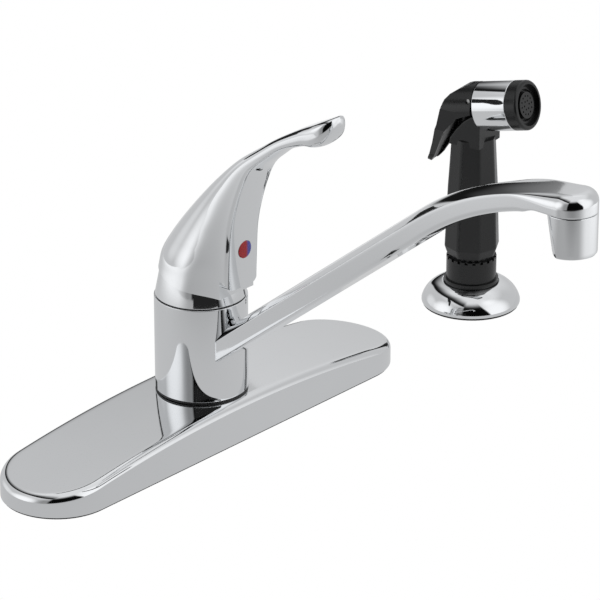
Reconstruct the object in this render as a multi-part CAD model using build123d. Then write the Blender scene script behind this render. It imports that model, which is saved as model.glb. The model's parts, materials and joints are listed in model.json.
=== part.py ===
from build123d import *
import math
import os

# Single-lever kitchen faucet on a long deck plate, with a separate hand spray.
# Millimetres. +Z is up, +X points to the hand spray, -Y points to the user.
# The origin is on the deck, on the axis that the spout turns about.

# ---- driving dimensions -------------------------------------------------
# deck plate and gasket
plate_length = 254.0
plate_width = 55.5
plate_crown_z = 21.0                 # top of the arched cover at its middle
plate_end_z = 10.6                     # top of the cover at its tips
plate_wall = 2.0
plate_edge_round = 4.0
ring_seat_depth = 0.35        # flat land that the friction ring sits on
gasket_thick = 1.0
gasket_inset = 0.8
deck_hole_r = 17.5            # centre hole of the sink deck
stud_spacing = 203.2

# waterway body under the cover
bar_width = 20.0
bar_height = 8.0
stud_r = 3.1                     # plain shank below the bar
stud_thread_r = 2.75
stud_shank_length = 31.0
stud_length = 62.0
stud_nut_z = -44.0
hub_base_r = 21.0
hub_base_height = 12.0
cover_screw_x = 62.0
cover_screw_r = 1.9
tail_x = 7.5                  # the two supply passages, side by side
tail_y = 3.8
tail_r = 4.76
tail_wall = 0.9
tail_drop_hot = 80.0
tail_drop_cold = 112.0
tail_spread = 6.5                # each tail moves this far out below the deck
tail_bend_start = 18.0
tail_bend_length = 30.0
passage_r = 2.6
nipple_y = -9.0
nipple_r = 6.85
nipple_drop = 24.0

# spout hub and the post it turns on
spout_hub_r = 22.6
spout_hub_z0 = 22.85
spout_hub_z1 = 70.4
spout_bore_r = 17.3
running_gap = 0.06
friction_ring_gap = 0.1
post_waist_r = 15.2
post_neck_r = 15.6
post_top_z = 76.0
post_groove_depth = 2.2
post_groove_width = 3.2
lower_land_z = (26.0, 36.0)
upper_land_z = (58.0, 69.5)

# spout arm and outlet
arm_rise_deg = 38.2
arm_root_y = -12.0                      # inside the hub
arm_root_z = 48.3                          # upper side edge at arm_root_y
arm_root_width = 23.0
arm_end_deg = 8.0             # slope left at the outlet
arm_bend_power = 1.35         # how early the bend flattens
spout_reach = 219.8
arm_bend_run = 80.8                     # length of the bend before the outlet axis
outlet_r = 12.2
outlet_blend = 0.3            # the arm runs out just inside the outlet's side
arm_side_height = 9.0
arm_crown = 3.8
arm_corner = 1.8
crown_run = 48.0              # length over which the crown flattens after the bend
outlet_side_height = 8.2
arm_wall = 2.2
outlet_seam_drop = 9.119                # below the arm's edge at the outlet axis
outlet_crown = 0.5
outlet_edge_round = 5.0
skirt_height = 19.3
skirt_wall = 1.4
skirt_rear_top = 9.8                   # rear of the skirt behind the outlet axis
skirt_rear_bottom = 6.0
skirt_rear_depth = 7.8        # depth of the flatter curve
seam_gap = 0.2
stream_shift = 3.4                       # the stream leaves a little forward of the outlet axis
aerator_r = 8.2
aerator_wall = 1.3
aerator_top_drop = 6.3                 # below the seam

# bonnet, cartridge and handle pivot
bonnet_z0 = 70.9
bonnet_r0 = 22.1
bonnet_shoulder_z = 87.5
bonnet_shoulder_r = 18.9
bonnet_top_z = 94.0
bonnet_opening_r = 12.4
bonnet_wall = 1.5
well_r = 13.2
well_floor_z = 50.5
pivot_z = 74.7
stem_arm = 9.2                # pivot to the ball that drives the disc
stem_rest_deg = 10.0          # lean towards the user when the water is off
stem_lift_deg = 22.0
stem_width = 6.6
stem_depth = 6.0
stem_ball_r = 2.4
stem_top = 31.5               # above the pivot
hinge_pin_r = 1.5
guide_neck_r = 8.2
disc_r = 8.6
disc_gap = 0.02

# handle
handle_clearance = 0.40               # hood to bonnet
handle_wall = 0.9
cavity_growth = 0.10          # extra room in the hood as it lifts
rim_front_z = 78.2                       # rim of the hood at rim_front_y
rim_front_y = -16.0
rim_slope = 0.19
block_bottom_z = 81.5                # underside of the square front of the hood
lever_tip_y = -86.4
lever_tip_r = 12.0
button_r = 4.4
button_z = 100.8
button_thick = 1.8
set_screw_r = 2.5

# hand spray and its holder
spray_x = 203.2
spray_y = -3.6
spray_turn_deg = 8.6                  # the nozzle points a little away from the spout
head_tilt_deg = 12.75
head_r = 12.85
head_axis_z = 108.6                     # where the head's axis crosses the handle's axis
head_face = 32.6                           # nozzle face in front of the handle's axis
nozzle_length = 6.9
band_length = 19.6
band_wall = 1.3
spray_bottom_z = 28.6
spray_wide_z = 33.0
spray_wide_r = 13.55
spray_waist_z = 66.0
spray_waist_r = 12.4
spray_neck_z = 92.8
spray_neck_r = 10.9
spray_bore_r = 4.2
flange_r = 25.6
flange_rim_z = 2.4
flange_top_z = 12.4
flange_opening_r = 14.35
flange_wall = 1.3
flange_ledge_z = 9.5
collar_r = 13.0
collar_foot_r = 14.1
collar_top_z = 26.8
collar_bore_r = 9.7
shank_r = 11.0
shank_bottom_z = -42.0
shank_nut_z = -30.0
coupling_r = 9.3
coupling_bottom_z = 7.0
hose_bore_r = 4.0
trigger_wall = 1.3
trigger_half_width = 12.8
trigger_pivot = (2.5, 115.1)   # forward of the handle's axis, height
trigger_gap = 0.35
trigger_pin_r = 1.2
plunger_t = -4.4
plunger_r = 1.6

# ---- values worked out from them ---------------------------------------
half_length = plate_length / 2
plate_sag = plate_crown_z - plate_end_z
arch_r = (half_length ** 2 + plate_sag ** 2) / (2 * plate_sag)
ring_seat_z = plate_crown_z - ring_seat_depth
bar_top_z = gasket_thick + bar_height
hub_base_top_z = gasket_thick + hub_base_height
post_r = spout_bore_r - running_gap
groove_r = post_r - post_groove_depth
outlet_y = -spout_reach
arm_bend_y = outlet_y + arm_bend_run
stream_y = outlet_y - stream_shift
stem_open_deg = stem_lift_deg - stem_rest_deg
disc_rest_y = stem_arm * math.sin(math.radians(stem_rest_deg))
ball_z = pivot_z - stem_arm * math.cos(math.radians(stem_rest_deg))
seal_height = 1.4
base_z = well_floor_z + 0.6
fixed_disc_z = base_z + 4.0
moving_disc_z = fixed_disc_z + 3.5
carrier_z = moving_disc_z + disc_gap + 3.2
carrier_height = 4.7
shell_r = well_r - 0.1
shell_roof_z = 69.0
shell_top_z = 71.0
guide_flange_z = carrier_z + carrier_height + 0.2
ports = [(-tail_x, tail_y), (tail_x, tail_y), (0.0, -7.5)]
parts = {}


# ---- small shapes ---------------------------------------------------------
def tube(outer, inner, z0, z1, x=0.0, y=0.0):
    """Upright ring from z0 to z1."""
    body = Pos(x, y, (z0 + z1) / 2) * Cylinder(outer, z1 - z0)
    return body - Pos(x, y, (z0 + z1) / 2) * Cylinder(inner, z1 - z0 + 2)


def rod(radius, z0, z1, x=0.0, y=0.0):
    """Upright cylinder from z0 to z1."""
    return Pos(x, y, (z0 + z1) / 2) * Cylinder(radius, z1 - z0)


def rod_y(radius, y0, y1, x, z):
    """Cylinder along Y."""
    return Pos(x, (y0 + y1) / 2, z) * Rot(90, 0, 0) * Cylinder(radius, abs(y1 - y0))


def rod_x(radius, x0, x1, y, z):
    """Cylinder along X."""
    return Pos((x0 + x1) / 2, y, z) * Rot(0, 90, 0) * Cylinder(radius, abs(x1 - x0))


def block(x0, x1, y0, y1, z0, z1):
    """Box from its lowest to its highest corner."""
    centre = Pos((x0 + x1) / 2, (y0 + y1) / 2, (z0 + z1) / 2)
    return centre * Box(x1 - x0, y1 - y0, z1 - z0)


def turned(points):
    """Solid of revolution about Z from a closed outline of (radius, z) points."""
    outline = Polyline(*[(r, 0, z) for r, z in points], close=True)
    return revolve(make_face(outline), Axis.Z)


def side_plate(points, half_width):
    """Extrude a closed outline of (y, z) points across X."""
    outline = Polyline(*[(-half_width, y, z) for y, z in points], close=True)
    return extrude(make_face(outline), 2 * half_width, dir=(1, 0, 0))


def slot_prism(length, width, z0, z1):
    """Upright prism with straight sides and round ends."""
    return Pos(0, 0, z0) * extrude(SlotOverall(length, width), z1 - z0)


def under_arch(drop):
    """Everything below the arch of the cover, lowered by drop."""
    centre_z = plate_crown_z - arch_r
    return Pos(0, 0, centre_z) * Rot(90, 0, 0) * Cylinder(arch_r - drop, plate_width * 2)


def arch_z(x):
    """Height of the cover's top at x."""
    return plate_crown_z - arch_r + math.sqrt(arch_r ** 2 - x ** 2)


def screw(radius, head_r, head_h, z_head, z_tip, x, y=0.0):
    """Upright screw with its head at the bottom."""
    shank = rod(radius, z_head, z_tip, x, y)
    return shank + rod(head_r, z_head, z_head + head_h, x, y)


# ---- deck plate, gasket and waterway --------------------------------------
def make_deck_plate():
    blank = slot_prism(plate_length, plate_width, gasket_thick, plate_crown_z + 5)
    cover = blank & under_arch(0)
    top = cover.faces().sort_by(Axis.Z)[-1]
    cover = fillet(top.edges(), plate_edge_round)
    inside = slot_prism(plate_length - 2 * plate_wall, plate_width - 2 * plate_wall,
                        gasket_thick - 1, plate_crown_z + 5)
    cover = cover - (inside & under_arch(plate_wall))
    for side in (-1, 1):
        x = side * cover_screw_x
        boss = rod(4.5, bar_top_z, arch_z(x) - plate_wall / 2, x)
        cover = cover + (boss & under_arch(plate_wall / 2))
        cover = cover - rod(cover_screw_r + 0.05, bar_top_z - 1, bar_top_z + 6, x)
    cover = cover - rod(spout_hub_r + 0.3, ring_seat_z, plate_crown_z + 5)
    return cover - rod(post_r + 0.4, gasket_thick, plate_crown_z + 5)


def make_deck_gasket():
    pad = slot_prism(plate_length - 2 * gasket_inset, plate_width - 2 * gasket_inset, 0, gasket_thick)
    pad = pad - rod(deck_hole_r, -1, gasket_thick + 1)
    for side in (-1, 1):
        pad = pad - rod(stud_r + 0.5, -1, gasket_thick + 1, side * stud_spacing / 2)
    return pad


def post_profile():
    """Outside of the post: two lands with O-ring grooves, a waist and a threaded neck."""
    points = [(0, hub_base_top_z - 1), (post_r, hub_base_top_z - 1)]
    for z0, z1 in (lower_land_z, upper_land_z):
        middle = (z0 + z1) / 2
        points += [(post_r, middle - post_groove_width / 2), (groove_r, middle - post_groove_width / 2),
                   (groove_r, middle + post_groove_width / 2), (post_r, middle + post_groove_width / 2),
                   (post_r, z1)]
        if z1 < upper_land_z[0]:
            points += [(post_waist_r, z1 + 2), (post_waist_r, upper_land_z[0] - 2),
                       (post_r, upper_land_z[0])]
    return points + [(post_neck_r, upper_land_z[1]), (post_neck_r, post_top_z), (0, post_top_z)]


diverter_z = 40.0
diverter_bore_r = 5.2
diverter_y = (-post_waist_r - 1, -3.0)


def make_waterway_body():
    bar = slot_prism(stud_spacing + bar_width, bar_width, gasket_thick, bar_top_z)
    body = bar + rod(hub_base_r, gasket_thick, hub_base_top_z) + turned(post_profile())
    body = body - rod(well_r, well_floor_z, post_top_z + 1)
    for x, y in ports[:2]:
        body = body - rod(passage_r, gasket_thick - 1, well_floor_z + 1, x, y)
        body = body - rod(tail_r + 0.05, gasket_thick - 1, bar_top_z, x, y)
    body = body - rod_y(diverter_bore_r, diverter_y[0], diverter_y[1], 0, diverter_z)
    body = body - rod(passage_r, diverter_z, well_floor_z + 1, *ports[2])
    body = body - rod(passage_r, gasket_thick - 1, diverter_z, 0, nipple_y)
    body = body - rod(nipple_r - 0.95, gasket_thick - 1, bar_top_z, 0, nipple_y)
    for side in (-1, 1):
        body = body - rod(stud_thread_r + 0.01, gasket_thick - 1, bar_top_z + 1, side * stud_spacing / 2)
        x = side * cover_screw_x
        body = body - rod(cover_screw_r + 0.3, gasket_thick - 1, bar_top_z + 1, x)
        body = body - rod(3.9, gasket_thick - 1, gasket_thick + 3, x)
    return body


def make_mounting_studs():
    top = bar_top_z
    return [rod(stud_thread_r, top - stud_length, top, side * stud_spacing / 2)
            + rod(stud_r, -stud_shank_length, 0.0, side * stud_spacing / 2) for side in (-1, 1)]


def make_stud_washers():
    return [tube(12.0, stud_r + 0.3, stud_nut_z + 10.0, stud_nut_z + 11.6, side * stud_spacing / 2)
            for side in (-1, 1)]


def make_stud_nuts():
    nuts = []
    for side in (-1, 1):
        x = side * stud_spacing / 2
        nut = rod(7.0, stud_nut_z, stud_nut_z + 10.0, x)
        nut = nut + block(x - 15, x + 15, -1.6, 1.6, stud_nut_z + 1.0, stud_nut_z + 8.0)
        nuts.append(nut - rod(stud_thread_r + 0.02, stud_nut_z - 1, stud_nut_z + 11, x))
    return nuts


def make_cover_screws():
    return [screw(cover_screw_r, 3.6, 2.4, gasket_thick + 0.3, bar_top_z + 5, side * cover_screw_x)
            for side in (-1, 1)]


def tail_x_below(index):
    """The tails stand further apart below their bend."""
    x = ports[index][0]
    return x + math.copysign(tail_spread, x)


def make_supply_tail(index, drop):
    """Straight through the deck, then a gentle double bend outwards, then straight."""
    x, y = ports[index]
    far = tail_x_below(index)
    middle_x, middle_z = (x + far) / 2, -tail_bend_start - tail_bend_length / 2
    bend = math.atan(tail_spread / tail_bend_length)         # half of each arc's turn
    arc_r = tail_bend_length / 2 / math.sin(2 * bend)
    bow = math.copysign(arc_r * (1 - math.cos(bend)), x)
    drop_to_arc = arc_r * math.sin(bend)
    path = Wire([
        Line((x, y, bar_top_z - 0.1), (x, y, -tail_bend_start)),
        ThreePointArc((x, y, -tail_bend_start), (x + bow, y, -tail_bend_start - drop_to_arc),
                      (middle_x, y, middle_z)),
        ThreePointArc((middle_x, y, middle_z), (far - bow, y, -tail_bend_start - tail_bend_length + drop_to_arc),
                      (far, y, -tail_bend_start - tail_bend_length)),
        Line((far, y, -tail_bend_start - tail_bend_length), (far, y, -drop)),
    ])
    start = Plane(origin=(x, y, bar_top_z - 0.1), z_dir=(0, 0, -1))
    return sweep(start * Circle(tail_r), path=path) - sweep(start * Circle(tail_r - tail_wall), path=path)


def make_tail_fitting(index, drop):
    """Brass end with a union shoulder above a straight thread."""
    x, y = tail_x_below(index), ports[index][1]
    fitting = rod(9.8, -drop - 16, -drop - 2, x, y) + rod(7.5, -drop - 2, -drop + 9, x, y)
    fitting = fitting - rod(tail_r + 0.05, -drop, -drop + 10, x, y)
    return fitting - rod(tail_r - tail_wall, -drop - 17, -drop + 1, x, y)


def make_spray_nipple():
    neck_r = nipple_r - 1.0
    nipple = rod(neck_r, -nipple_drop, bar_top_z - 0.1, 0, nipple_y)
    nipple = nipple + rod(nipple_r, -nipple_drop, -nipple_drop + 13, 0, nipple_y)
    return nipple - rod(passage_r, -nipple_drop - 1, bar_top_z, 0, nipple_y)


# ---- spout -----------------------------------------------------------------
def arm_edge(y):
    """Height and slope angle of the arm's upper side edge at y."""
    rise = math.tan(math.radians(arm_rise_deg))
    level = math.tan(math.radians(arm_end_deg))
    if y >= arm_bend_y:
        return arm_root_z + (arm_root_y - y) * rise, math.atan(rise)
    bend_z = arm_root_z + (arm_root_y - arm_bend_y) * rise
    run = spout_reach + arm_bend_y
    share = (arm_bend_y - y) / run
    slope = level + (rise - level) * (1 - share) ** arm_bend_power
    area = (1 - (1 - share) ** (arm_bend_power + 1)) / (arm_bend_power + 1)
    return bend_z + run * (level * share + (rise - level) * area), math.atan(slope)


outlet_seam_z = arm_edge(outlet_y)[0] - outlet_seam_drop
skirt_bottom_z = outlet_seam_z - skirt_height
aerator_top_z = outlet_seam_z - aerator_top_drop


def arm_half_width(y):
    """The arm widens evenly from the hub to the outlet."""
    share = (arm_root_y - y) / (arm_root_y - outlet_y)
    return arm_root_width / 2 + share * (outlet_r - outlet_blend - arm_root_width / 2)


def arm_section(y, inset=0.0):
    """Domed section with flat sides, square to the arm at y."""
    edge_z, angle = arm_edge(y)
    half = arm_half_width(y) - inset
    past_bend = max(arm_bend_y - y, 0.0)
    crown = arm_crown + (outlet_crown - arm_crown) * min(past_bend / crown_run, 1.0)
    side = arm_side_height + (outlet_side_height - arm_side_height) * past_bend / (arm_bend_y - outlet_y)
    low = -side + inset
    corner = arm_corner - inset * 0.5
    plane = Plane(origin=(0, y, edge_z), x_dir=(1, 0, 0),
                  z_dir=(0, -math.cos(angle), math.sin(angle)))
    top = -inset
    outline = [
        ThreePointArc((half, top), (0, crown + top), (-half, top)),
        Line((-half, top), (-half, low + corner)),
        ThreePointArc((-half, low + corner), (-half + corner * 0.293, low + corner * 0.293),
                      (-half + corner, low)),
        Line((-half + corner, low), (half - corner, low)),
        ThreePointArc((half - corner, low), (half - corner * 0.293, low + corner * 0.293),
                      (half, low + corner)),
        Line((half, low + corner), (half, top)),
    ]
    if plane.y_dir.Z < 0:
        plane = Plane(origin=plane.origin, x_dir=(-1, 0, 0), z_dir=plane.z_dir)
    return plane * make_face(outline)


bend_steps = 5
arm_stations = [arm_bend_y + (outlet_y - arm_bend_y) * step / bend_steps for step in range(bend_steps + 1)]


def arm_run(inset, stations):
    """Straight run from the hub to the bend, then the bend."""
    straight = loft([arm_section(arm_root_y, inset), arm_section(arm_bend_y, inset)], ruled=True)
    return straight + loft([arm_section(y, inset) for y in stations])


def make_spout():
    hub = rod(spout_hub_r, spout_hub_z0, spout_hub_z1)
    arm = arm_run(0.0, arm_stations)
    crest_z = arm_edge(outlet_y)[0]
    end = rod(outlet_r, outlet_seam_z, crest_z + outlet_crown - outlet_blend, y=outlet_y)
    end = fillet(end.edges().sort_by(Axis.Z)[-1], outlet_edge_round)
    spout = hub + arm + end
    spout = spout - arm_run(arm_wall, arm_stations[:-1])
    below_seam = rod(outlet_r + seam_gap, skirt_bottom_z, outlet_seam_z, y=outlet_y)
    spout = spout - below_seam
    spout = spout - rod(aerator_r - 2.0, outlet_seam_z - 1, crest_z - 1, y=stream_y)
    spout = spout - rod_y(2.2, stream_y, arm_stations[-2] + 4, 0, crest_z - 4.4)
    spout = spout - rod(spout_bore_r, spout_hub_z0 - 1, spout_hub_z1 + 1)
    nipple = tube(aerator_r - 0.3, aerator_r - 2.0, aerator_top_z + 1.5, outlet_seam_z,
                  y=stream_y)
    return spout + nipple


def skirt_outline(rear):
    """Round at the front and sides, with a flatter curve at the rear."""
    edge_y = rear - skirt_rear_depth
    edge_x = math.sqrt(outlet_r ** 2 - edge_y ** 2)
    front = ThreePointArc((-edge_x, edge_y), (0, -outlet_r), (edge_x, edge_y))
    back = ThreePointArc((edge_x, edge_y), (0, rear), (-edge_x, edge_y))
    return make_face([front, back])


def make_outlet_skirt():
    top_z = outlet_seam_z - seam_gap
    shell = loft([Pos(0, outlet_y, skirt_bottom_z) * skirt_outline(skirt_rear_bottom),
                  Pos(0, outlet_y, top_z) * skirt_outline(skirt_rear_top)])
    shell = shell - rod(aerator_r + 0.1, skirt_bottom_z - 1, aerator_top_z, y=stream_y)
    return shell - rod(aerator_r - 0.25, aerator_top_z - 1, top_z + 1, y=stream_y)


def make_aerator_housing():
    housing = tube(aerator_r, aerator_r - aerator_wall, skirt_bottom_z + 1.2, aerator_top_z - 1.6,
                   y=stream_y)
    return housing + tube(aerator_r, aerator_r - 3.0, aerator_top_z - 4.0, aerator_top_z - 2.4,
                          y=stream_y)


def make_aerator_screen():
    z0 = skirt_bottom_z + 1.6
    screen_r = aerator_r - aerator_wall - 0.05
    screen = rod(screen_r, z0, z0 + 1.6, y=stream_y)
    pitch = 2.6
    for ring, count in ((0, 1), (1, 6), (2, 12)):
        for step in range(count):
            turn = 2 * math.pi * step / count
            x = ring * pitch * math.cos(turn)
            y = stream_y + ring * pitch * math.sin(turn)
            screen = screen - rod(0.85, z0 - 1, z0 + 3, x, y)
    return screen


def make_aerator_washer():
    return tube(aerator_r - 0.35, aerator_r - 2.0, aerator_top_z - 1.6, aerator_top_z + 1.4,
                y=stream_y)


# ---- bonnet and cartridge ---------------------------------------------------
def bonnet_outline(gap):
    """Outside of the bonnet grown by gap, as (radius, z) points from bottom to top."""
    return [(bonnet_r0 + gap, bonnet_z0), (bonnet_shoulder_r + gap, bonnet_shoulder_z),
            (bonnet_shoulder_r - 1.2 + gap, bonnet_shoulder_z + 3.0),
            (bonnet_opening_r + gap, bonnet_top_z + gap)]


def make_bonnet():
    outer = bonnet_outline(0)
    inner = [(r, z) for r, z in bonnet_outline(-bonnet_wall)]
    inner[-1] = (bonnet_opening_r, inner[-1][1] - 0.4)
    inner[0] = (inner[0][0], bonnet_z0 + 4.5)
    ring = [(post_neck_r + 0.05, bonnet_z0 + 4.5), (post_neck_r + 0.05, bonnet_z0)]
    return turned(ring + outer + inner[::-1])


def make_cartridge_base():
    base = rod(shell_r - 1.05, base_z, fixed_disc_z)
    for x, y in ports:
        base = base - rod(2.5, base_z - 1, fixed_disc_z + 1, x, y)
        base = base - rod(3.75, base_z - 1, well_floor_z + seal_height + 0.05, x, y)
    return base


def make_fixed_disc():
    disc = rod(shell_r - 1.4, fixed_disc_z, moving_disc_z)
    for x, y in ports:
        disc = disc - rod(2.4, fixed_disc_z - 1, moving_disc_z + 1, x, y)
    return disc


def make_moving_disc():
    z0 = moving_disc_z + disc_gap
    disc = rod(disc_r, z0, carrier_z, y=disc_rest_y)
    return disc - rod(5.4, z0 - 1, z0 + 1.8, y=disc_rest_y)


def make_disc_carrier():
    carrier = rod(disc_r - 0.2, carrier_z, carrier_z + carrier_height, y=disc_rest_y)
    return carrier - rod(stem_ball_r + 0.35, carrier_z + 0.8, carrier_z + 6, y=disc_rest_y)


def make_cartridge_shell():
    shell = tube(shell_r, shell_r - 1.0, base_z, shell_top_z)
    return shell + tube(shell_r, guide_neck_r + 0.07, shell_roof_z, shell_top_z)


def make_stem_guide():
    guide = rod(shell_r - 1.4, guide_flange_z, shell_roof_z - 0.1)
    guide = guide + rod(guide_neck_r, guide_flange_z, pivot_z + 5.0)
    half_slot = stem_width / 2 + 0.2
    guide = guide - block(-half_slot, half_slot, -6.4, 6.4, guide_flange_z - 1, shell_top_z)
    guide = guide - block(-half_slot, half_slot, -10, 10, shell_top_z, pivot_z + 6)
    return guide - rod_x(hinge_pin_r + 0.02, -10, 10, 0, pivot_z)


def lean(degrees):
    """Turn about the handle's pivot, positive towards the user."""
    return Pos(0, 0, pivot_z) * Rot(degrees, 0, 0) * Pos(0, 0, -pivot_z)


def make_lever_stem():
    half = stem_width / 2
    bottom = pivot_z - stem_arm
    stem = block(-half, half, -stem_depth / 2, stem_depth / 2, pivot_z - 5.0, pivot_z + stem_top)
    stem = stem + rod(1.7, bottom, pivot_z - 4.5)
    stem = stem + Pos(0, 0, bottom) * Sphere(stem_ball_r)
    stem = stem - rod_x(hinge_pin_r + running_gap, -10, 10, 0, pivot_z)
    return lean(stem_rest_deg) * stem


def make_retaining_nut():
    nut = tube(well_r - 0.05, guide_neck_r + 1.0, shell_top_z, shell_top_z + 3.6)
    for turn in (0, 90):
        slot = block(-20, 20, -1.5, 1.5, shell_top_z + 2.2, shell_top_z + 5)
        nut = nut - Rot(0, 0, turn) * slot
    return nut


# ---- handle -----------------------------------------------------------------
# Each section runs from the front (underside) to the back (top) of the casting:
# front y, front z, back y, back z, half width, half width of the front face, bulge of the front
handle_sections = [
    (-27.6, 72.0, 22.9, 72.0, 22.9, 11.2, 1.4),
    (-27.9, 84.0, 20.7, 85.0, 20.7, 11.2, 1.5),
    (-28.2, 92.0, 18.9, 92.5, 19.4, 11.2, 1.5),
    (-28.6, 101.0, 13.8, 101.0, 17.2, 11.1, 1.5),
    (-29.4, 111.0, 6.0, 111.5, 14.9, 11.0, 1.5),
    (-31.6, 121.5, -4.5, 123.8, 12.9, 10.9, 1.5),
    (-35.6, 133.5, -16.2, 136.0, 11.6, 10.7, 1.6),
    (-40.9, 144.5, -30.0, 148.4, 10.8, 10.5, 1.6),
    (-50.1, 153.1, -44.2, 158.3, 10.2, 10.0, 1.6),
    (-59.6, 160.2, -54.8, 165.4, 9.7, 9.5, 1.7),
    (-70.8, 164.8, -67.0, 172.5, 9.5, 9.2, 1.8),
    (-84.5, 167.0, -81.5, 180.1, 9.5, 9.1, 1.8),
    (-96.0, 169.5, -93.0, 184.5, 9.5, 9.1, 1.8),
]


tip_curve = [(-66.0, 162.4), (-76.0, 164.9), (-82.8, 169.6), (-86.0, 176.0), (-86.4, 184.0)]


def handle_section(front_y, front_z, back_y, back_z, half, corner, bulge):
    """Face in the plane that holds X and the line from the front to the back of the casting."""
    depth = math.hypot(back_y - front_y, back_z - front_z)
    across = Vector(0, back_y - front_y, back_z - front_z).normalized()
    plane = Plane(origin=(0, front_y, front_z), x_dir=(1, 0, 0),
                  z_dir=Vector(1, 0, 0).cross(across))
    widest = min(depth - half, depth * 0.5) if depth > 2 * half else depth * 0.5
    rear = depth - widest
    slant = 0.7071
    points = [
        (corner, bulge), ((corner + half) / 2 + 0.12 * (half - corner) + 0.3, widest * 0.5),
        (half, widest), (half * slant, widest + rear * slant), (0, depth),
        (-half * slant, widest + rear * slant), (-half, widest),
        (-(corner + half) / 2 - 0.12 * (half - corner) - 0.3, widest * 0.5), (-corner, bulge),
    ]
    back = Spline(*points)
    front = ThreePointArc((-corner, bulge), (0, 0), (corner, bulge))
    return plane * make_face([back, front])


def tip_envelope():
    """Side outline that rounds the lower front of the lever's tip."""
    half = 40.0
    nose = [(-half, y, z) for y, z in tip_curve]
    first, last = nose[0], nose[-1]
    edges = [Spline(*nose), Polyline(last, (-half, last[1], 200.0), (-half, 60.0, 200.0),
                                     (-half, 60.0, 50.0), (-half, first[1], 50.0), first)]
    return extrude(make_face(edges), 2 * half, dir=(1, 0, 0))


def make_handle():
    casting = loft([handle_section(*row) for row in handle_sections])
    tip_centre_y = lever_tip_y + lever_tip_r
    low_z = 60.0
    high_z = 200.0
    plan = block(-30, 30, tip_centre_y, 30, low_z, high_z)
    plan = plan + rod(lever_tip_r, low_z, high_z, y=tip_centre_y)
    casting = casting & plan & tip_envelope()
    rim_angle = math.degrees(math.atan(rim_slope))
    below_rim = Pos(0, rim_front_y, rim_front_z) * Rot(rim_angle, 0, 0) * Pos(0, 0, -25) * Box(120, 120, 50)
    casting = casting - below_rim
    casting = casting - block(-30, 30, -60, -(bonnet_r0 + handle_wall), low_z, block_bottom_z)
    steps = 4
    for step in range(steps):
        gap = handle_clearance + cavity_growth * step
        hollow = [(0, bonnet_z0 - 12), (bonnet_r0 + 2.5, bonnet_z0 - 12)]
        hollow += bonnet_outline(gap) + [(0, bonnet_top_z + gap)]
        casting = casting - lean(stem_lift_deg * step / (steps - 1)) * turned(hollow)
    half = stem_width / 2 + 0.05
    deep = stem_depth / 2 + 0.05
    socket_top = pivot_z + stem_top + 0.3
    boss = rod(6.4, pivot_z + 13.5, pivot_z + 28)
    casting = casting + lean(stem_rest_deg) * boss
    casting = casting - lean(stem_rest_deg) * block(-half, half, -deep, deep, pivot_z + 8, socket_top)
    casting = casting - rod_y(set_screw_r + 0.05, -40, 0, 0, button_z)
    return casting - rod_y(button_r + 0.05, -40, -29.0 + button_thick, 0, button_z)


def make_set_screw():
    back = -math.tan(math.radians(stem_rest_deg)) * (button_z - pivot_z) - stem_depth / 2 - 1.2
    return rod_y(set_screw_r, back - 8, back, 0, button_z)


def make_index_button():
    front = -29.6
    button = rod_y(button_r, front, -29.0 + button_thick - 0.05, 0, button_z)
    return fillet(button.edges().sort_by(Axis.Y)[0], 0.4)


# ---- diverter -----------------------------------------------------------------
def make_diverter_seat():
    seat = rod_y(diverter_bore_r - 0.05, -14.9, -11.4, 0, diverter_z)
    return seat - rod_y(3.0, -16, -10, 0, diverter_z)


def make_diverter_plunger():
    plunger = rod_y(2.4, -13.6, -4.2, 0, diverter_z)
    return plunger + rod_y(4.4, -9.0, -6.6, 0, diverter_z)


# ---- spray holder ---------------------------------------------------------------
def placed(shape):
    """Move a shape from the hand spray's own axis to its hole in the deck."""
    return Pos(spray_x, spray_y, 0) * Rot(0, 0, spray_turn_deg) * shape


def make_spray_flange():
    gasket_top = gasket_thick
    outer = [Line((flange_r, 0, gasket_top), (flange_r, 0, flange_rim_z)),
             ThreePointArc((flange_r, 0, flange_rim_z), (21.4, 0, 9.3), (flange_opening_r, 0, flange_top_z)),
             Line((flange_opening_r, 0, flange_top_z), (flange_opening_r, 0, flange_ledge_z)),
             Line((flange_opening_r, 0, flange_ledge_z), (shank_r + 0.3, 0, flange_ledge_z)),
             Line((shank_r + 0.3, 0, flange_ledge_z), (shank_r + 0.3, 0, flange_ledge_z - flange_wall)),
             Line((shank_r + 0.3, 0, flange_ledge_z - flange_wall), (16.0, 0, flange_ledge_z - flange_wall)),
             ThreePointArc((16.0, 0, flange_ledge_z - flange_wall), (20.6, 0, 6.4),
                           (flange_r - flange_wall, 0, flange_rim_z)),
             Line((flange_r - flange_wall, 0, flange_rim_z), (flange_r - flange_wall, 0, gasket_top)),
             Line((flange_r - flange_wall, 0, gasket_top), (flange_r, 0, gasket_top))]
    return placed(revolve(make_face(outer), Axis.Z))


def make_flange_gasket():
    return placed(tube(flange_r - 0.7, flange_r - 5.0, 0, gasket_thick))


def make_holder_collar():
    foot = tube(collar_foot_r, collar_bore_r, flange_ledge_z, flange_ledge_z + 5.1)
    wall = tube(collar_r, collar_bore_r, flange_ledge_z + 4.0, collar_top_z)
    shank = tube(shank_r, collar_bore_r - 1.2, shank_bottom_z, 5.5)
    shank = shank + tube(shank_r, collar_bore_r, 5.0, flange_ledge_z + 1)
    collar = foot + wall + shank
    count = 20
    for step in range(count):
        notch = block(collar_r - 1.3, collar_r + 2, -0.8, 0.8, collar_top_z - 1.1, collar_top_z + 1)
        collar = collar - Rot(0, 0, 360 * step / count) * notch
    return placed(collar)


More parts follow.
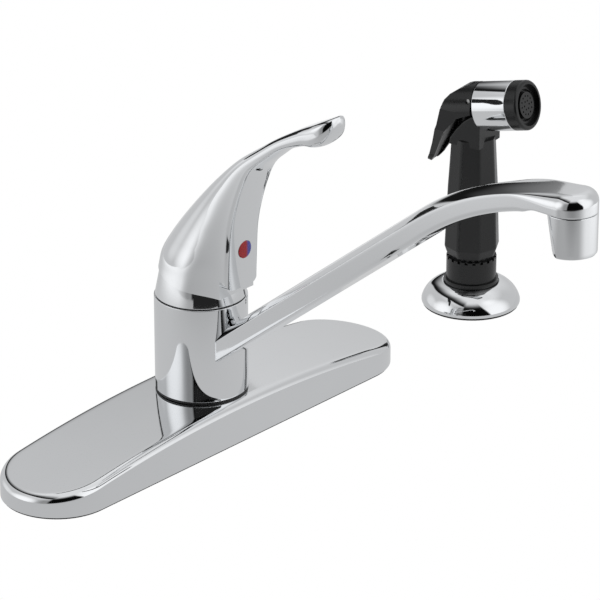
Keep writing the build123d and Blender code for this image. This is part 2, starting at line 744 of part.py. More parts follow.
def make_holder_nut():
    nut = rod(16.5, shank_nut_z, shank_nut_z + 5) + rod(20.0, shank_nut_z + 5, shank_nut_z + 7)
    for turn in range(0, 180, 45):
        wing = block(-20, 20, -1.8, 1.8, shank_nut_z, shank_nut_z + 7)
        nut = nut + Rot(0, 0, turn) * wing
    return placed(nut - rod(shank_r + 0.05, shank_nut_z - 1, shank_nut_z + 8))


# ---- hand spray -------------------------------------------------------------------
def along_head(shape):
    """Move a shape built on Z to the head's axis, with Z pointing out of the nozzle."""
    return Pos(0, 0, head_axis_z) * Rot(90 - head_tilt_deg, 0, 0) * shape


def faceted(radius, z, corner=3.0):
    """Eight-sided section with soft corners; radius reaches the corners' rounding."""
    face = RegularPolygon(radius, 8, major_radius=False)
    face = fillet(face.vertices(), corner)
    return Pos(0, 0, z) * Rot(0, 0, 0) * face


def spray_side(points, half_width):
    """Extrude a side outline of (forward, z) points across the spray."""
    return side_plate([(-t, z) for t, z in points], half_width)


band_back = head_face - nozzle_length - band_length
plunger_top_z = 115.5
spring_foot_z = 107.0
shoulder_outline = [(-9.2, 90.0), (-8.7, 93.5), (-5.6, 98.4), (-1.0, 103.8), (3.4, 107.2),
                    (8.0, 108.8), (9.4, 108.8), (9.4, 90.0)]


def make_spray_body():
    foot = loft([faceted(spray_wide_r - 1.4, spray_bottom_z), faceted(spray_wide_r, spray_wide_z)], ruled=True)
    grip = loft([faceted(spray_wide_r, spray_wide_z), faceted(spray_waist_r, spray_waist_z)], ruled=True)
    neck = loft([faceted(spray_waist_r, spray_waist_z), faceted(spray_neck_r, spray_neck_z)], ruled=True)
    shoulder = spray_side(shoulder_outline, spray_neck_r - 0.5)
    side_edges = shoulder.edges().filter_by(Axis.X, reverse=True).filter_by_position(Axis.Z, 91, 110)
    shoulder = fillet(side_edges.filter_by_position(Axis.Y, -8, 12), 1.5)
    core_r = head_r - band_wall - 0.1
    body = foot + grip + neck + shoulder
    body = body - along_head(rod(head_r, band_back, head_face))
    body = body + along_head(rod(core_r, band_back, band_back + band_length + 1.4))
    body = body + along_head(rod(core_r - 2.9, -1.0, band_back + 1))
    body = body + rod(4.2, 95.0, spring_foot_z + 1.0, y=-plunger_t)
    body = body - rod(spray_bore_r, spray_bottom_z - 1, 94.0)
    body = body - rod(2.6, 93.0, head_axis_z, y=-3.2)
    body = body - along_head(rod(spray_bore_r, 0.0, head_face))
    body = body - rod(3.4, spring_foot_z, head_axis_z + 20, y=-plunger_t)
    body = body - rod(plunger_r + running_gap, 88.6, head_axis_z + 20, y=-plunger_t)
    body = body - block(-4, 4, 10.9, 20, 90.8, 94.6)
    pivot_t, pivot_height = trigger_pivot
    return placed(body - rod_x(trigger_pin_r + 0.02, -20, 20, -pivot_t, pivot_height))


def make_spray_band():
    return placed(along_head(tube(head_r, head_r - band_wall, band_back, band_back + band_length)))


def make_nozzle_ring():
    z0 = band_back + band_length
    ring = rod(head_r, z0, head_face)
    ring = fillet(ring.edges().sort_by(Axis.Z)[-1], 1.4)
    ring = ring - rod(head_r - 2.2, head_face - 2.6, head_face + 1)
    return placed(along_head(ring - rod(head_r - band_wall + 0.0, z0 - 1, z0 + 1.5)
                             - rod(head_r - 3.4, z0 - 1, head_face + 1)))


def make_nozzle_face():
    back = head_face - 4.5
    face_r = head_r - 3.5
    face = rod(face_r, back, head_face - 2.4)
    face = face - tube(face_r - 1.0, 7.0, head_face - 4.0, head_face)
    face = face + rod(6.8, back, head_face - 1.2)
    for ring, count in ((2.3, 6), (4.8, 12)):
        for step in range(count):
            turn = 2 * math.pi * step / count
            face = face - rod(0.5, back - 1, head_face, ring * math.cos(turn), ring * math.sin(turn))
    return placed(along_head(face))


def make_hose_coupling():
    coupling = rod(coupling_r, coupling_bottom_z, spray_bottom_z)
    coupling = coupling + rod(coupling_r + 1.7, collar_top_z + 0.1, spray_bottom_z)
    return placed(coupling - rod(hose_bore_r, coupling_bottom_z - 1, spray_bottom_z + 1))


def make_spray_valve_seat():
    z0 = 84.0
    return placed(tube(spray_bore_r - 0.05, 2.4, z0, z0 + 3))


trigger_top = [(10.0, 124.6), (3.0, 122.6), (-2.0, 120.8), (-6.2, 118.6), (-9.4, 116.3), (-11.6, 113.4),
               (-12.6, 110.0), (-14.9, 99.5), (-19.4, 87.6), (-24.3, 76.6)]
trigger_under = [(-22.5, 75.7), (-20.4, 78.4), (-15.3, 87.8), (-11.2, 95.4), (-8.0, 99.6),
                 (-3.3, 105.0), (3.5, 108.3), (10.0, 110.0)]
trigger_travel_deg = 9.0


def about_trigger_pin(shape, degrees):
    """Turn about the trigger's pin, positive when the trigger is let go."""
    pivot_t, pivot_height = trigger_pivot
    return Pos(0, -pivot_t, pivot_height) * Rot(degrees, 0, 0) * Pos(0, pivot_t, -pivot_height) * shape


def make_trigger():
    """Cap over the head with a tongue behind the handle, hollow under its skin."""
    cap = spray_side(trigger_top + trigger_under, trigger_half_width)
    below = block(-30, 30, -10, 60, 40, head_axis_z)
    cap = cap & (along_head(rod(head_r, -60, 60)) + below)
    tongue_r = 6.0
    plan = block(-30, 30, -30, 60, 97.0, 140.0)
    taper = [(-trigger_half_width, 97.0), (trigger_half_width, 97.0), (tongue_r, 80.0), (-tongue_r, 80.0)]
    outline = Polyline(*[(x, 0, z) for x, z in taper], close=True)
    plan = plan + extrude(make_face(outline), 40, dir=(0, 1, 0))
    plan = plan + rod_y(tongue_r, 0, 40, 0, 80.0)
    cap = cap & plan
    inner = [(20.0, trigger_top[0][1])] + [(t + trigger_wall, z - trigger_wall) for t, z in trigger_top]
    inner = inner + [(-21.9, 66.0), (20.0, 66.0)]
    inside = along_head(rod(head_r - trigger_wall, -60, 60)) + below
    taper = [(abs(x) / x * (abs(x) - trigger_wall), z) for x, z in taper]
    outline = Polyline(*[(x, 0, z) for x, z in taper], close=True)
    narrow = extrude(make_face(outline), 40, dir=(0, 1, 0)) + rod_y(tongue_r - trigger_wall, 0, 40, 0, 80.0)
    narrow = narrow + block(-30, 30, -30, 60, 97.0, 140.0)
    hollow = spray_side(inner, trigger_half_width - trigger_wall)
    cap = cap - (hollow & inside & narrow)
    front = along_head(rod(30, band_back - trigger_gap, 90))
    cap = cap - front - about_trigger_pin(front, trigger_travel_deg)
    pivot_t, pivot_height = trigger_pivot
    return placed(cap - rod_x(trigger_pin_r + running_gap, -20, 20, -pivot_t, pivot_height))


def make_trigger_pin():
    pivot_t, pivot_height = trigger_pivot
    return placed(rod_x(trigger_pin_r, -10.6, 10.6, -pivot_t, pivot_height))


def make_valve_plunger():
    plunger = rod(plunger_r, 90.5, plunger_top_z, y=-plunger_t)
    return placed(plunger + rod(2.6, plunger_top_z - 1.2, plunger_top_z, y=-plunger_t))


def make_trigger_spring():
    wire_r = 0.4
    coil_r = 2.15
    height = plunger_top_z - 1.3 - spring_foot_z - 2 * wire_r
    path = Helix(pitch=height / 4, height=height, radius=coil_r)
    wire = sweep(Plane(origin=path @ 0, z_dir=path % 0) * Circle(wire_r), path=path)
    return placed(Pos(0, -plunger_t, spring_foot_z + wire_r) * wire)


# ---- the whole part ---------------------------------------------------------------
parts["deck_plate"] = make_deck_plate()
parts["deck_gasket"] = make_deck_gasket()
parts["waterway_body"] = make_waterway_body()
parts["mounting_studs"] = make_mounting_studs()
parts["stud_washers"] = make_stud_washers()
parts["stud_nuts"] = make_stud_nuts()
parts["cover_screws"] = make_cover_screws()
parts["supply_tail_hot"] = make_supply_tail(0, tail_drop_hot)
parts["supply_tail_cold"] = make_supply_tail(1, tail_drop_cold)
parts["tail_fittings"] = [make_tail_fitting(0, tail_drop_hot), make_tail_fitting(1, tail_drop_cold)]
parts["spray_nipple"] = make_spray_nipple()
parts["friction_ring"] = tube(spout_hub_r, post_r + 0.1, ring_seat_z, spout_hub_z0 - friction_ring_gap)
parts["spout_o_rings"] = [tube(post_r, groove_r + 0.05, (z0 + z1) / 2 - 1.3, (z0 + z1) / 2 + 1.3)
                          for z0, z1 in (lower_land_z, upper_land_z)]
parts["glide_washer"] = tube(bonnet_r0 - 0.3, spout_bore_r + 0.1, spout_hub_z1 + 0.1, bonnet_z0)
parts["bonnet"] = make_bonnet()
parts["cartridge_base"] = make_cartridge_base()
parts["cartridge_seals"] = [tube(3.7, 2.7, well_floor_z, well_floor_z + seal_height, x, y) for x, y in ports]
parts["fixed_disc"] = make_fixed_disc()
parts["cartridge_shell"] = make_cartridge_shell()
parts["retaining_nut"] = make_retaining_nut()
parts["diverter_seat"] = make_diverter_seat()
parts["diverter_plunger"] = make_diverter_plunger()
parts["spout"] = make_spout()
parts["outlet_skirt"] = make_outlet_skirt()
parts["aerator_housing"] = make_aerator_housing()
parts["aerator_screen"] = make_aerator_screen()
parts["aerator_washer"] = make_aerator_washer()
parts["stem_guide"] = make_stem_guide()
parts["hinge_pin"] = rod_x(hinge_pin_r, -guide_neck_r + 0.5, guide_neck_r - 0.5, 0, pivot_z)
parts["lever_stem"] = make_lever_stem()
parts["handle"] = make_handle()
parts["handle_set_screw"] = make_set_screw()
parts["index_button"] = make_index_button()
parts["moving_disc"] = make_moving_disc()
parts["disc_carrier"] = make_disc_carrier()
parts["spray_flange"] = make_spray_flange()
parts["flange_gasket"] = make_flange_gasket()
parts["holder_collar"] = make_holder_collar()
parts["holder_nut"] = make_holder_nut()
parts["spray_body"] = make_spray_body()
parts["spray_band"] = make_spray_band()
parts["nozzle_ring"] = make_nozzle_ring()
parts["nozzle_face"] = make_nozzle_face()
parts["hose_coupling"] = make_hose_coupling()
parts["spray_valve_seat"] = make_spray_valve_seat()
parts["trigger_pin"] = make_trigger_pin()
parts["trigger_spring"] = make_trigger_spring()
parts["trigger"] = make_trigger()
parts["valve_plunger"] = make_valve_plunger()

os.makedirs("parts", exist_ok=True)
for name, shape in parts.items():
    if isinstance(shape, list):
        shape = Compound(children=shape)
    export_step(shape, f"parts/{name}.step")
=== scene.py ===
import json
import math

import bpy
from mathutils import Matrix, Vector


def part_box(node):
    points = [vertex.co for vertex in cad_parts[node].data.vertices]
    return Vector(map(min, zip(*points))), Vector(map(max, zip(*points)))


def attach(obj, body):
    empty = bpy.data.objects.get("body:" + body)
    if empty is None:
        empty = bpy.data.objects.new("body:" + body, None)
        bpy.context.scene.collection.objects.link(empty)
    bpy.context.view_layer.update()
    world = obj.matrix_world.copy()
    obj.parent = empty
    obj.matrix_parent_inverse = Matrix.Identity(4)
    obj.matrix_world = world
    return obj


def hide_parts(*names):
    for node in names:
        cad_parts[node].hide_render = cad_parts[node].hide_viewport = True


bl_info = {
    "name": "Side spray kitchen faucet",
    "version": (1, 0, 0),
    "blender": (4, 5, 0),
    "location": "3D View > Sidebar > Faucet",
    "description": "Dresses a single-lever kitchen faucet with a side spray in chrome and black plastic",
    "category": "Add Mesh",
}

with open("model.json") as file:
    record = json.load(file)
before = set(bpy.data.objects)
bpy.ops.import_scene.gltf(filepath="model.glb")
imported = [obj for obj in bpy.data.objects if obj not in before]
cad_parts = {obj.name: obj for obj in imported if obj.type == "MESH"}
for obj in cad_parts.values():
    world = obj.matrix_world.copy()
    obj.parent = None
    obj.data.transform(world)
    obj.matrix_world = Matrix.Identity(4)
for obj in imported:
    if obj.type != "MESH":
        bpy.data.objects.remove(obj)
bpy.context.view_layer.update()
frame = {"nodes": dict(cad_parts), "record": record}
MM = 0.001

# ---- sizes in millimetres, in the frame of the solids ------------------------
# deck plate
PLATE_WIDTH = 55.5
PLATE_FOOT_Z = 1.0
PLATE_CROWN_Z = 21.4
PLATE_END_Z = 10.6
PLATE_WALL = 2.0
POST_HOLE_R = 17.7

# spout
HUB_R = 22.6
HUB_BORE_R = 17.3
HUB_Z = (22.4, 70.4)
RING_Z = (21.35, 22.3)
RING_BORE_R = 18.2
RING_INSET = 0.1
ARM_RISE = math.tan(math.radians(38.2))
ARM_END_RISE = math.tan(math.radians(8.0))
ARM_ROOT_Y = -12.0
ARM_ROOT_Z = 48.3
ARM_START_Y = -17.8
ARM_BEND_Y = -139.0
ARM_BEND_POWER = 1.35
OUTLET_Y = -219.8
OUTLET_R = 12.2
ARM_ROOT_HALF = 11.5
ARM_END_HALF = 12.1
ARM_SIDE = 9.0
OUTLET_SIDE = 8.2
ARM_CROWN = 3.8
OUTLET_CROWN = 0.05
CROWN_RUN = 48.0
ARM_CORNER = 1.8
SEAM_Z = 172.7

# outlet skirt
SKIRT_Z = (153.4, 172.5)
SKIRT_REAR = (6.0, 9.8)
SKIRT_REAR_DEPTH = 7.8
STREAM_Y = OUTLET_Y - 3.4
AERATOR_R = 8.3
AERATOR_TOP_Z = 166.4

# bonnet
BONNET_OUTSIDE = [(22.1, 70.9), (18.9, 87.5), (17.7, 90.5), (12.4, 94.0)]
BONNET_WALL = 1.5
PIVOT_Z = 74.7
HANDLE_LIFT = 22.0
HOOD_GAP = 0.40
HOOD_GROWTH = 0.10
HOOD_STEPS = 3
BLOCK_FRONT_Y = -28.8
BUTTON_Z = 100.8
BUTTON_R = 4.35
BUTTON_DOME = 0.25
BUTTON_DEPTH = 1.4
BUTTON_FRONT_Y = -28.6
BUTTON_HOLE_R = 4.5
BUTTON_BACK_Y = -27.3

# hand spray
SPRAY_X = 203.2
SPRAY_Y = -3.6
SPRAY_TURN = 8.6
HEAD_TILT = 12.75
HEAD_AXIS_Z = 108.6
HEAD_R = 12.85
BAND = (6.1, 25.7)
BAND_WALL = 1.3

# ---- camera: a long lens, placed by two angles and an offset --------------------
VIEW_AZIMUTH = math.radians(-48.8457)
VIEW_ELEVATION = math.radians(23.5612)
VIEW_RIGHT = 47.4972
VIEW_UP = 60.9361
VIEW_DISTANCE = 1923.4916
LENS = 237.27
SIDEWAYS = Vector((math.cos(VIEW_AZIMUTH), math.sin(VIEW_AZIMUTH), 0.0))
TOWARDS = Vector((math.sin(VIEW_AZIMUTH) * math.cos(VIEW_ELEVATION),
                  -math.cos(VIEW_AZIMUTH) * math.cos(VIEW_ELEVATION), math.sin(VIEW_ELEVATION)))


# ---- properties -------------------------------------------------------------------
class FaucetLook(bpy.types.PropertyGroup):
    chrome_colour: bpy.props.FloatVectorProperty(
        name="Chrome", description="Reflected colour of the plating", subtype="COLOR", size=3,
        default=(0.80, 0.81, 0.82), min=0.0, max=1.0)
    chrome_roughness: bpy.props.FloatProperty(
        name="Chrome roughness", description="Blur of the plating's reflections",
        default=0.035, min=0.0, max=1.0, subtype="FACTOR")
    black_colour: bpy.props.FloatVectorProperty(
        name="Black plastic", description="Colour of the hand spray's mouldings", subtype="COLOR",
        size=3, default=(0.0055, 0.0058, 0.006), min=0.0, max=1.0)
    black_roughness: bpy.props.FloatProperty(
        name="Black roughness", description="Blur of the moulded plastic's reflections",
        default=0.22, min=0.0, max=1.0, subtype="FACTOR")
    warm_mark: bpy.props.FloatVectorProperty(
        name="Hot colour", description="Hot side of the index button", subtype="COLOR", size=3,
        default=(0.50, 0.012, 0.016), min=0.0, max=1.0)
    cold_mark: bpy.props.FloatVectorProperty(
        name="Cold colour", description="Cold side of the index button", subtype="COLOR", size=3,
        default=(0.09, 0.09, 0.45), min=0.0, max=1.0)


class FaucetSizes(bpy.types.PropertyGroup):
    plate_edge: bpy.props.FloatProperty(
        name="Plate edge", description="Rounding of the deck plate's top edge",
        default=0.004, min=0.0005, max=0.008, unit="LENGTH")
    arm_edge: bpy.props.FloatProperty(
        name="Arm edge", description="Rounding of the arm's upper edges",
        default=0.0004, min=0.0001, max=0.003, unit="LENGTH")
    outlet_edge: bpy.props.FloatProperty(
        name="Outlet edge", description="Rounding over the end of the spout",
        default=0.0055, min=0.001, max=0.008, unit="LENGTH")


# ---- small helpers ------------------------------------------------------------------
def mix(low, high, share):
    """Value part of the way from low to high."""
    return low + (high - low) * share


def smooth(share):
    """Ease from 0 to 1."""
    share = min(max(share, 0.0), 1.0)
    return share * share * (3 - 2 * share)


def skin(name, rows):
    """Bend a flat grid into a skin that passes through rows of points in millimetres."""
    tall, wide = len(rows), len(rows[0])
    bpy.ops.object.select_all(action="DESELECT")
    bpy.ops.mesh.primitive_grid_add(x_subdivisions=wide - 1, y_subdivisions=tall - 1, size=1.0)
    piece = bpy.context.object
    piece.name = piece.data.name = name
    flat = piece.data.vertices
    order = sorted(range(len(flat)), key=lambda i: (round(flat[i].co.y * 1e4), flat[i].co.x))
    for place, index in enumerate(order):
        flat[index].co = Vector(rows[place // wide][place % wide]) * MM
    close_up(piece)
    return piece


def spun(name, outline, steps=120, place=Matrix.Identity(4)):
    """Spin a closed outline of (radius, height) points about its own upright axis, then place it."""
    bpy.ops.object.select_all(action="DESELECT")
    bpy.ops.mesh.primitive_circle_add(vertices=len(outline), fill_type="NOTHING")
    piece = bpy.context.object
    piece.name = piece.data.name = name
    for vertex, (radius, height) in zip(piece.data.vertices, outline):
        vertex.co = (radius * MM, 0, height * MM)
    bpy.ops.object.mode_set(mode="EDIT")
    bpy.ops.mesh.select_all(action="SELECT")
    bpy.ops.mesh.spin(steps=steps, angle=math.tau, center=(0, 0, 0), axis=(0, 0, 1))
    bpy.ops.object.mode_set(mode="OBJECT")
    close_up(piece)
    piece.data.transform(place)
    return piece


def close_up(piece):
    """Merge seams and poles and turn the faces outwards."""
    bpy.context.view_layer.objects.active = piece
    bpy.ops.object.mode_set(mode="EDIT")
    bpy.ops.mesh.select_all(action="SELECT")
    bpy.ops.mesh.remove_doubles(threshold=0.003 * MM)
    bpy.ops.mesh.normals_make_consistent(inside=False)
    bpy.ops.object.mode_set(mode="OBJECT")


def soften(piece, crease_angle):
    """Shade smooth, with a crease where faces meet at more than the given degrees."""
    bpy.ops.object.select_all(action="DESELECT")
    piece.select_set(True)
    bpy.context.view_layer.objects.active = piece
    bpy.ops.object.shade_smooth_by_angle(angle=math.radians(crease_angle))


def carve(piece, cutter):
    """Cut one mesh out of another."""
    cut = piece.modifiers.new("cut", "BOOLEAN")
    cut.operation = "DIFFERENCE"
    cut.solver = "EXACT"
    cut.object = cutter
    bpy.context.view_layer.objects.active = piece
    bpy.ops.object.modifier_apply(modifier=cut.name)
    bpy.data.objects.remove(cutter, do_unlink=True)


def keep_common(piece, limit):
    """Keep only what lies inside another mesh."""
    trim = piece.modifiers.new("trim", "BOOLEAN")
    trim.operation = "INTERSECT"
    trim.solver = "EXACT"
    trim.object = limit
    bpy.context.view_layer.objects.active = piece
    bpy.ops.object.modifier_apply(modifier=trim.name)
    bpy.data.objects.remove(limit, do_unlink=True)


def dress(piece, body, finish, nodes, crease_angle=30.0):
    """Shade a piece, give it its finish and tie it to the solids."""
    soften(piece, crease_angle)
    piece.data.materials.clear()
    piece.data.materials.append(finish)
    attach(piece, body)
    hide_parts(*nodes)


def rounded(points, radii, steps=5):
    """Closed outline with an arc at each corner that has a radius."""
    outline = []
    count = len(points)
    for index, radius in enumerate(radii):
        corner = Vector(points[index])
        if radius <= 0:
            outline.append(tuple(corner))
            continue
        before = (Vector(points[index - 1]) - corner).normalized()
        after = (Vector(points[(index + 1) % count]) - corner).normalized()
        half = before.angle(after) / 2
        centre = corner + (before + after).normalized() * (radius / math.sin(half))
        start = corner + before * (radius / math.tan(half)) - centre
        end = corner + after * (radius / math.tan(half)) - centre
        for step in range(steps + 1):
            share = step / steps
            spoke = (start * (1 - share) + end * share).normalized() * radius
            outline.append(tuple(centre + spoke))
    return outline


def arc_through(first, middle, last, steps):
    """Points on the circle through three points, without the last one."""
    ax, az = first
    bx, bz = middle
    cx, cz = last
    d = 2 * (ax * (bz - cz) + bx * (cz - az) + cx * (az - bz))
    a2, b2, c2 = ax * ax + az * az, bx * bx + bz * bz, cx * cx + cz * cz
    ox = (a2 * (bz - cz) + b2 * (cz - az) + c2 * (az - bz)) / d
    oz = (a2 * (cx - bx) + b2 * (ax - cx) + c2 * (bx - ax)) / d
    radius = math.hypot(ax - ox, az - oz)
    start = math.atan2(az - oz, ax - ox)
    sweep = (math.atan2(cz - oz, cx - ox) - start + math.pi) % math.tau - math.pi
    return [(ox + radius * math.cos(start + sweep * i / steps),
             oz + radius * math.sin(start + sweep * i / steps)) for i in range(steps)]


# ---- shader maths ---------------------------------------------------------------------
class Signal:
    """A number on its way through a material; sums and products add Math nodes."""

    def __init__(self, finish, socket):
        self.finish = finish
        self.socket = socket

    def math(self, operation, other=None, swapped=False):
        values = [self, other]
        if swapped:
            values.reverse()
        inputs = {index: value for index, value in enumerate(values) if value is not None}
        return self.finish.node("ShaderNodeMath", {"operation": operation}, inputs)

    def __add__(self, other):
        return self.math("ADD", other)

    __radd__ = __add__

    def __mul__(self, other):
        return self.math("MULTIPLY", other)

    __rmul__ = __mul__

    def __sub__(self, other):
        return self.math("SUBTRACT", other)

    def __rsub__(self, other):
        return self.math("SUBTRACT", other, swapped=True)

    def __truediv__(self, other):
        return self.math("DIVIDE", other)

    def ramp(self, low, high):
        """0 below low, 1 above high, eased between them."""
        return self.finish.node("ShaderNodeMapRange", {"interpolation_type": "SMOOTHSTEP"},
                                {"Value": self, "From Min": low, "From Max": high})

    def within(self, low, high, edge):
        """1 between low and high, with soft edges of the given width."""
        return self.ramp(low - edge, low + edge) * (1 - self.ramp(high - edge, high + edge))


class Finish:
    """The nodes of one material or of the world."""

    def __init__(self, owner):
        owner.use_nodes = True
        self.tree = owner.node_tree
        self.tree.nodes.clear()

    def node(self, kind, settings=None, inputs=None, output=0):
        """Add a node with its settings and its inputs' values or links."""
        made = self.tree.nodes.new(kind)
        for key, value in (settings or {}).items():
            setattr(made, key, value)
        for key, value in (inputs or {}).items():
            if isinstance(value, Signal):
                self.tree.links.new(value.socket, made.inputs[key])
            else:
                made.inputs[key].default_value = value
        return Signal(self, made.outputs[output]) if made.outputs else None

    def place(self):
        return self.node("ShaderNodeTexCoord", output="Object")

    def parts_of(self, vector):
        """The x, y and z of a vector."""
        x = self.node("ShaderNodeSeparateXYZ", inputs={0: vector})
        outputs = x.socket.node.outputs
        return [Signal(self, outputs[index]) for index in range(3)]

    def noise(self, scale, detail=3.0, roughness=0.5):
        """Cloudy variation from 0 to 1; scale counts blobs per metre."""
        return self.node("ShaderNodeTexNoise", None,
                         {"Vector": self.place(), "Scale": scale, "Detail": detail, "Roughness": roughness})

    def blend(self, factor, first, second):
        """Colour between two colours."""
        return self.node("ShaderNodeMix", {"data_type": "RGBA"},
                         {"Factor": factor, 6: first, 7: second}, output=2)

    def bump(self, height, strength, distance):
        return self.node("ShaderNodeBump", None,
                         {"Strength": strength, "Distance": distance, "Height": height})

    def surface(self, **inputs):
        """Principled surface; names use underscores for spaces."""
        named = {key.replace("_", " "): value for key, value in inputs.items()}
        shader = self.node("ShaderNodeBsdfPrincipled", None, named)
        self.node("ShaderNodeOutputMaterial", None, {"Surface": shader})


def opaque(colour):
    return (colour[0], colour[1], colour[2], 1.0)


def shaded(colour, amount):
    return (colour[0] * amount, colour[1] * amount, colour[2] * amount, 1.0)


def new_material(name, build):
    material = bpy.data.materials.new(name)
    build(Finish(material))
    return material


def plating(finish):
    """Polished chrome: faint haze and a trace of the ripple left by buffing."""
    look = bpy.context.scene.faucet_look
    haze = finish.noise(45.0, 4.0)
    ripple = finish.noise(220.0, 2.0)
    tint = finish.blend(haze, shaded(look.chrome_colour, 0.975), opaque(look.chrome_colour))
    finish.surface(Base_Color=tint, Metallic=1.0,
                   Roughness=haze * 0.03 + look.chrome_roughness,
                   Normal=finish.bump(ripple, 0.012, 0.0004))


def black_moulding(finish):
    """Moulded plastic, satin, with a fine grain and a few dull patches."""
    look = bpy.context.scene.faucet_look
    grain = finish.noise(2600.0, 2.0)
    patch = finish.noise(70.0, 4.0)
    tint = finish.blend(patch, opaque(look.black_colour), shaded(look.black_colour, 1.5))
    finish.surface(Base_Color=tint, Roughness=patch * 0.12 + look.black_roughness,
                   Normal=finish.bump(grain, 0.06, 0.0001))


def plain_finish(colour, roughness, metallic=0.0, blobs=90.0, grain=900.0, strength=0.08):
    """A builder for pieces that share one simple make-up: mottled colour, uneven gloss, grain."""
    def build(finish):
        patch = finish.noise(blobs, 4.0)
        tint = finish.blend(patch, shaded(colour, 0.86), opaque(colour))
        finish.surface(Base_Color=tint, Metallic=metallic, Roughness=patch * 0.14 + roughness,
                       Normal=finish.bump(finish.noise(grain, 3.0), strength, 0.0002))
    return build


def drawn_metal(colour, roughness):
    """A builder for turned or drawn metal: fine marks round the piece."""
    def build(finish):
        x, y, z = finish.parts_of(finish.place())
        marks = finish.node("ShaderNodeTexNoise", {"noise_dimensions": "1D"},
                            {"W": z * 4200.0, "Scale": 1.0, "Detail": 2.0})
        patch = finish.noise(60.0, 3.0)
        tint = finish.blend(patch, shaded(colour, 0.82), opaque(colour))
        finish.surface(Base_Color=tint, Metallic=1.0, Roughness=marks * 0.12 + roughness,
                       Normal=finish.bump(marks, 0.1, 0.0001))
    return build


def index_marking(finish):
    """Red on the hot side and blue on the cold side, in glossy plastic."""
    look = bpy.context.scene.faucet_look
    x, y, z = finish.parts_of(finish.place())
    cold = x.ramp(0.4 * MM, 2.4 * MM)
    speck = finish.noise(1500.0, 2.0)
    tint = finish.blend(cold, opaque(look.warm_mark), opaque(look.cold_mark))
    finish.surface(Base_Color=tint, Roughness=speck * 0.1 + 0.2, Normal=finish.bump(speck, 0.05, 0.0001))


FINISHES = {
    "chrome": plating,
    "black_plastic": black_moulding,
    "bearing_plastic": plain_finish((0.012, 0.012, 0.013), 0.38),
    "rubber": plain_finish((0.02, 0.02, 0.02), 0.62),
    "ceramic": plain_finish((0.82, 0.80, 0.76), 0.12, strength=0.02),
    "moulded_plastic": plain_finish((0.62, 0.62, 0.58), 0.42),
    "brass": drawn_metal((0.78, 0.58, 0.26), 0.24),
    "copper": drawn_metal((0.80, 0.45, 0.32), 0.28),
    "steel": drawn_metal((0.56, 0.56, 0.55), 0.24),
    "index_colours": index_marking,
}
materials = {}


# ---- deck plate ----------------------------------------------------------------------
def plate_height(x):
    """The cover is a shallow arch along its length."""
    half = PLATE_HALF
    sag = PLATE_CROWN_Z - PLATE_END_Z
    radius = (half ** 2 + sag ** 2) / (2 * sag)
    return PLATE_CROWN_Z - radius + math.sqrt(radius ** 2 - x ** 2)


PLATE_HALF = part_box("deck_plate")[1][0] / MM


def plate_rim():
    """Points of the plan outline, each with its partner on the middle line."""
    end_r = PLATE_WIDTH / 2
    centre = PLATE_HALF - end_r
    rim = []
    for side in (1, -1):
        for step in range(60):
            x = side * centre * (1 - 2 * step / 60)
            rim.append(((x, side * end_r), (x, 0.0)))
        for step in range(40):
            turn = math.pi * step / 40
            x = -side * (centre + end_r * math.sin(turn))
            rim.append(((x, side * end_r * math.cos(turn)), (-side * centre, 0.0)))
    return rim + rim[:1]


def over_edge(rim, top, foot, edge, wall_steps, top_steps):
    """Rows that climb a wall, roll over its edge and run in to the middle line."""
    rows = [[(x, y, mix(foot((x, y)), top((x, y)) - edge((x, y)), step / wall_steps))
             for (x, y), _ in rim] for step in range(wall_steps)]
    for step in range(9):
        turn = math.pi / 2 * step / 8
        rows.append([])
        for (x, y), (mx, my) in rim:
            radius = edge((x, y))
            run = math.hypot(mx - x, my - y)
            share = radius * (1 - math.cos(turn)) / run if run else 0.0
            spot = (mix(x, mx, share), mix(y, my, share))
            rows[-1].append((*spot, top(spot) - radius * (1 - math.sin(turn))))
    for step in range(1, top_steps + 1):
        rows.append([])
        for (x, y), (mx, my) in rim:
            run = math.hypot(mx - x, my - y)
            begin = edge((x, y)) / run if run else 0.0
            share = mix(begin, 1.0, step / top_steps)
            spot = (mix(x, mx, share), mix(y, my, share))
            rows[-1].append((*spot, top(spot)))
    return rows


class FAUCET_OT_deck_plate(bpy.types.Operator):
    """Long cover with round ends, arched along its length"""
    bl_idname = "faucet.deck_plate"
    bl_label = "Deck plate"

    def execute(self, context):
        edge = context.scene.faucet_sizes.plate_edge / MM
        rows = over_edge(plate_rim(), lambda p: plate_height(p[0]), lambda p: PLATE_FOOT_Z,
                         lambda p: edge, 3, 14)
        piece = skin("plate_cover", rows)
        wall = piece.modifiers.new("wall", "SOLIDIFY")
        wall.thickness = PLATE_WALL * MM
        wall.offset = -1.0
        bpy.ops.object.modifier_apply(modifier=wall.name)
        bpy.ops.mesh.primitive_cylinder_add(vertices=96, radius=POST_HOLE_R * MM, depth=60 * MM)
        carve(piece, context.object)
        dress(piece, "base", materials["chrome"], ["deck_plate"], 25.0)
        return {"FINISHED"}


# ---- spout ---------------------------------------------------------------------------
def arm_line(y):
    """Height and rise of the arm's upper side edges at y."""
    if y >= ARM_BEND_Y:
        return ARM_ROOT_Z + (ARM_ROOT_Y - y) * ARM_RISE, ARM_RISE
    bend_z = ARM_ROOT_Z + (ARM_ROOT_Y - ARM_BEND_Y) * ARM_RISE
    run = ARM_BEND_Y - OUTLET_Y
    if y < OUTLET_Y:
        end_z, rise = arm_line(OUTLET_Y)
        past = OUTLET_Y - y
        return end_z + rise * (past - past ** 2 / (2 * OUTLET_R)), rise * (1 - past / OUTLET_R)
    share = (ARM_BEND_Y - y) / run
    slope = ARM_END_RISE + (ARM_RISE - ARM_END_RISE) * (1 - share) ** ARM_BEND_POWER
    area = (1 - (1 - share) ** (ARM_BEND_POWER + 1)) / (ARM_BEND_POWER + 1)
    return bend_z + run * (ARM_END_RISE * share + (ARM_RISE - ARM_END_RISE) * area), slope


